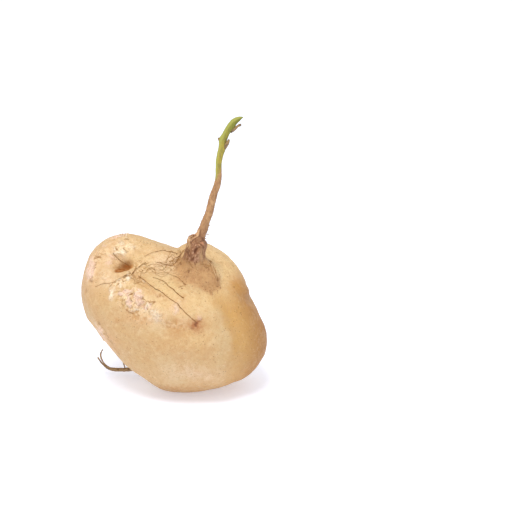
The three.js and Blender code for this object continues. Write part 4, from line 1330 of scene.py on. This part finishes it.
def stem_material():
    s = Shader("vine_stem")
    fibre = s.noise(0.8, 4, 0.65, 0.3, (1, 1, 0.14))
    patch = s.noise(3.2, 3, 0.6)
    dark = s.mix(s.between(s.noise(1.1, 4, 0.7), 0.44, 0.62), NECK_BROWN, NECK_DARK)
    brown = s.layers(
        STEM_BROWN,
        (s.between(fibre, 0.42, 0.64, 0, 0.8), STEM_DARK),
        (s.between(patch, 0.48, 0.66, 0, 0.45), light(210, 168, 120)),
        (s.times("rough", s.between(patch, 0.4, 0.58, 0.4, 1)), dark),
        # pale skin with a painted highlight on the buttress
        (s.times("peach", s.between(patch, 0.3, 0.7, 0.9, 0.5)), light(218, 174, 128)),
        (s.between("furrow", 0.2, 0.9, 0, 0.8), light(112, 76, 52)),
    )
    green = s.layers(
        STEM_OLIVE,
        (s.between(fibre, 0.42, 0.6), light(142, 130, 66)),
        (s.times("young", 0.8), STEM_GREEN),
        (s.times("stripe", s.between(fibre, 0.3, 0.6, 0.4, 0.8)), STEM_PALE),
    )
    spotted = s.between(s.cells(1.3, (1, 1, 0.6)), 0.1, 0.2, 0.4, 0)
    colour = s.mix(spotted, s.mix("woody", green, brown), STEM_DARK)
    return s.finish(colour, 0.68, s.bumps((fibre, 0.2), (s.noise(0.4, 3, 0.7), 0.08)), 0.25, 0.04)


def bark_material(name, colours, size=1.2, depth=0.3):
    """Bark in three screen colours: main, dark and pale."""
    s = Shader(name)
    main, dark, pale = [light(*colour) for colour in colours]
    patch = s.noise(size * 2, 4, 0.65)
    fine = s.noise(size * 0.5, 4, 0.7)
    colour = s.layers(main, (s.between(patch, 0.45, 0.66), dark), (s.between(fine, 0.5, 0.68, 0, 0.6), pale))
    normal = s.bumps((patch, depth), (fine, 0.3 * depth))
    return s.finish(colour, s.between(fine, 0.3, 0.7, 0.6, 0.8), normal, 0.25)


def dress(material, *pieces):
    for piece in pieces:
        piece.data.materials.clear()
        piece.data.materials.append(material)


NECK_BARK = [(178, 132, 96), (112, 72, 48), (220, 180, 138)]
STUB_BARK = [(150, 120, 82), (96, 82, 60), (170, 148, 98)]
TAIL_BARK = [(164, 134, 98), (116, 88, 60), (214, 182, 134)]
FEEDER_BARK = [(150, 104, 54), (112, 72, 34), (190, 146, 90)]
HAIR_BARK = [(176, 132, 78), (128, 88, 46), (208, 166, 112)]
STRAND_BARK = [(224, 190, 142), (196, 154, 106), (240, 216, 176)]

dress(skin_material(), skin)
dress(stem_material(), stem)
dress(bark_material("neck_bark", NECK_BARK), flake, shreds)
dress(bark_material("stub_bark", STUB_BARK), *stubs)
dress(bark_material("tail_bark", TAIL_BARK), *tails)
dress(bark_material("feeder_bark", FEEDER_BARK, 0.8, 0.1), *threads)
dress(bark_material("hair_bark", HAIR_BARK, 0.8, 0.05), hairs, tangles, whiskers)
dress(bark_material("strand_bark", STRAND_BARK, 0.8, 0.05), strands)

# ---------------------------------------------------------------- floor, light and camera

FLOOR_SIZE = 12.0
FLOOR_COLOUR = (0.8, 0.86, 0.98)
FLOOR_GLOW = (0.345, 0.34, 0.375)
WORLD_LIGHT = 0.78
WORLD_SEEN = 1.05
KEY_PLACE = (-0.2, -0.6, 1.35)
KEY_SIZE = 0.7
KEY_POWER = 13.0
VIEW_ACROSS = 52.65
VIEW_UP = 38.35
VIEW_DISTANCE = 1300
VIEW_WIDTH = 332.8
SENSOR = 36


def make_floor():
    half = FLOOR_SIZE / 2
    mesh = bpy.data.meshes.new("floor")
    corners = [(-half, -half, 0), (half, -half, 0), (half, half, 0), (-half, half, 0)]
    mesh.from_pydata(corners, [], [(0, 1, 2, 3)])
    floor = add_object("floor", mesh)
    s = Shader("pale_floor")
    mesh.materials.append(s.finish(FLOOR_COLOUR, 0.6, s.bumps((s.noise(3, 2), 0.01)), 0.1))
    s.give(s.surface.inputs["Emission Color"], FLOOR_GLOW)
    s.give(s.surface.inputs["Emission Strength"], 1)


def make_light():
    """An even white room, a little brighter to the camera than to the object, and one soft key."""
    world = bpy.data.worlds.new("studio")
    bpy.context.scene.world = world
    world.use_nodes = True
    nodes, links = world.node_tree.nodes, world.node_tree.links
    soft, seen = nodes["Background"], nodes.new("ShaderNodeBackground")
    both = nodes.new("ShaderNodeMixShader")
    for k, (room, strength) in enumerate([(soft, WORLD_LIGHT), (seen, WORLD_SEEN)], 1):
        room.inputs["Color"].default_value = (1, 1, 1, 1)
        room.inputs["Strength"].default_value = strength
        links.new(room.outputs[0], both.inputs[k])
    links.new(nodes.new("ShaderNodeLightPath").outputs["Is Camera Ray"], both.inputs[0])
    links.new(both.outputs[0], nodes["World Output"].inputs[0])
    lamp = bpy.data.lights.new("key", "AREA")
    lamp.shape = "DISK"
    lamp.size = KEY_SIZE
    lamp.energy = KEY_POWER
    key = add_object("key", lamp)
    key.location = KEY_PLACE
    aim = Vector(MIDDLE * MM) - Vector(KEY_PLACE)
    key.rotation_euler = aim.to_track_quat("-Z", "Y").to_euler()


def make_camera():
    lens = bpy.data.cameras.new("camera")
    lens.sensor_width = SENSOR
    lens.lens = SENSOR * VIEW_DISTANCE / VIEW_WIDTH
    lens.clip_start = 0.05
    lens.clip_end = 50
    camera = add_object("camera", lens)
    camera.location = from_face(VIEW_ACROSS, VIEW_UP, VIEW_DISTANCE)
    camera.rotation_euler = (math.pi / 2 - LEAN, 0, 0)
    bpy.context.scene.camera = camera


make_floor()
make_light()
make_camera()
bpy.context.scene.view_settings.view_transform = "Standard"
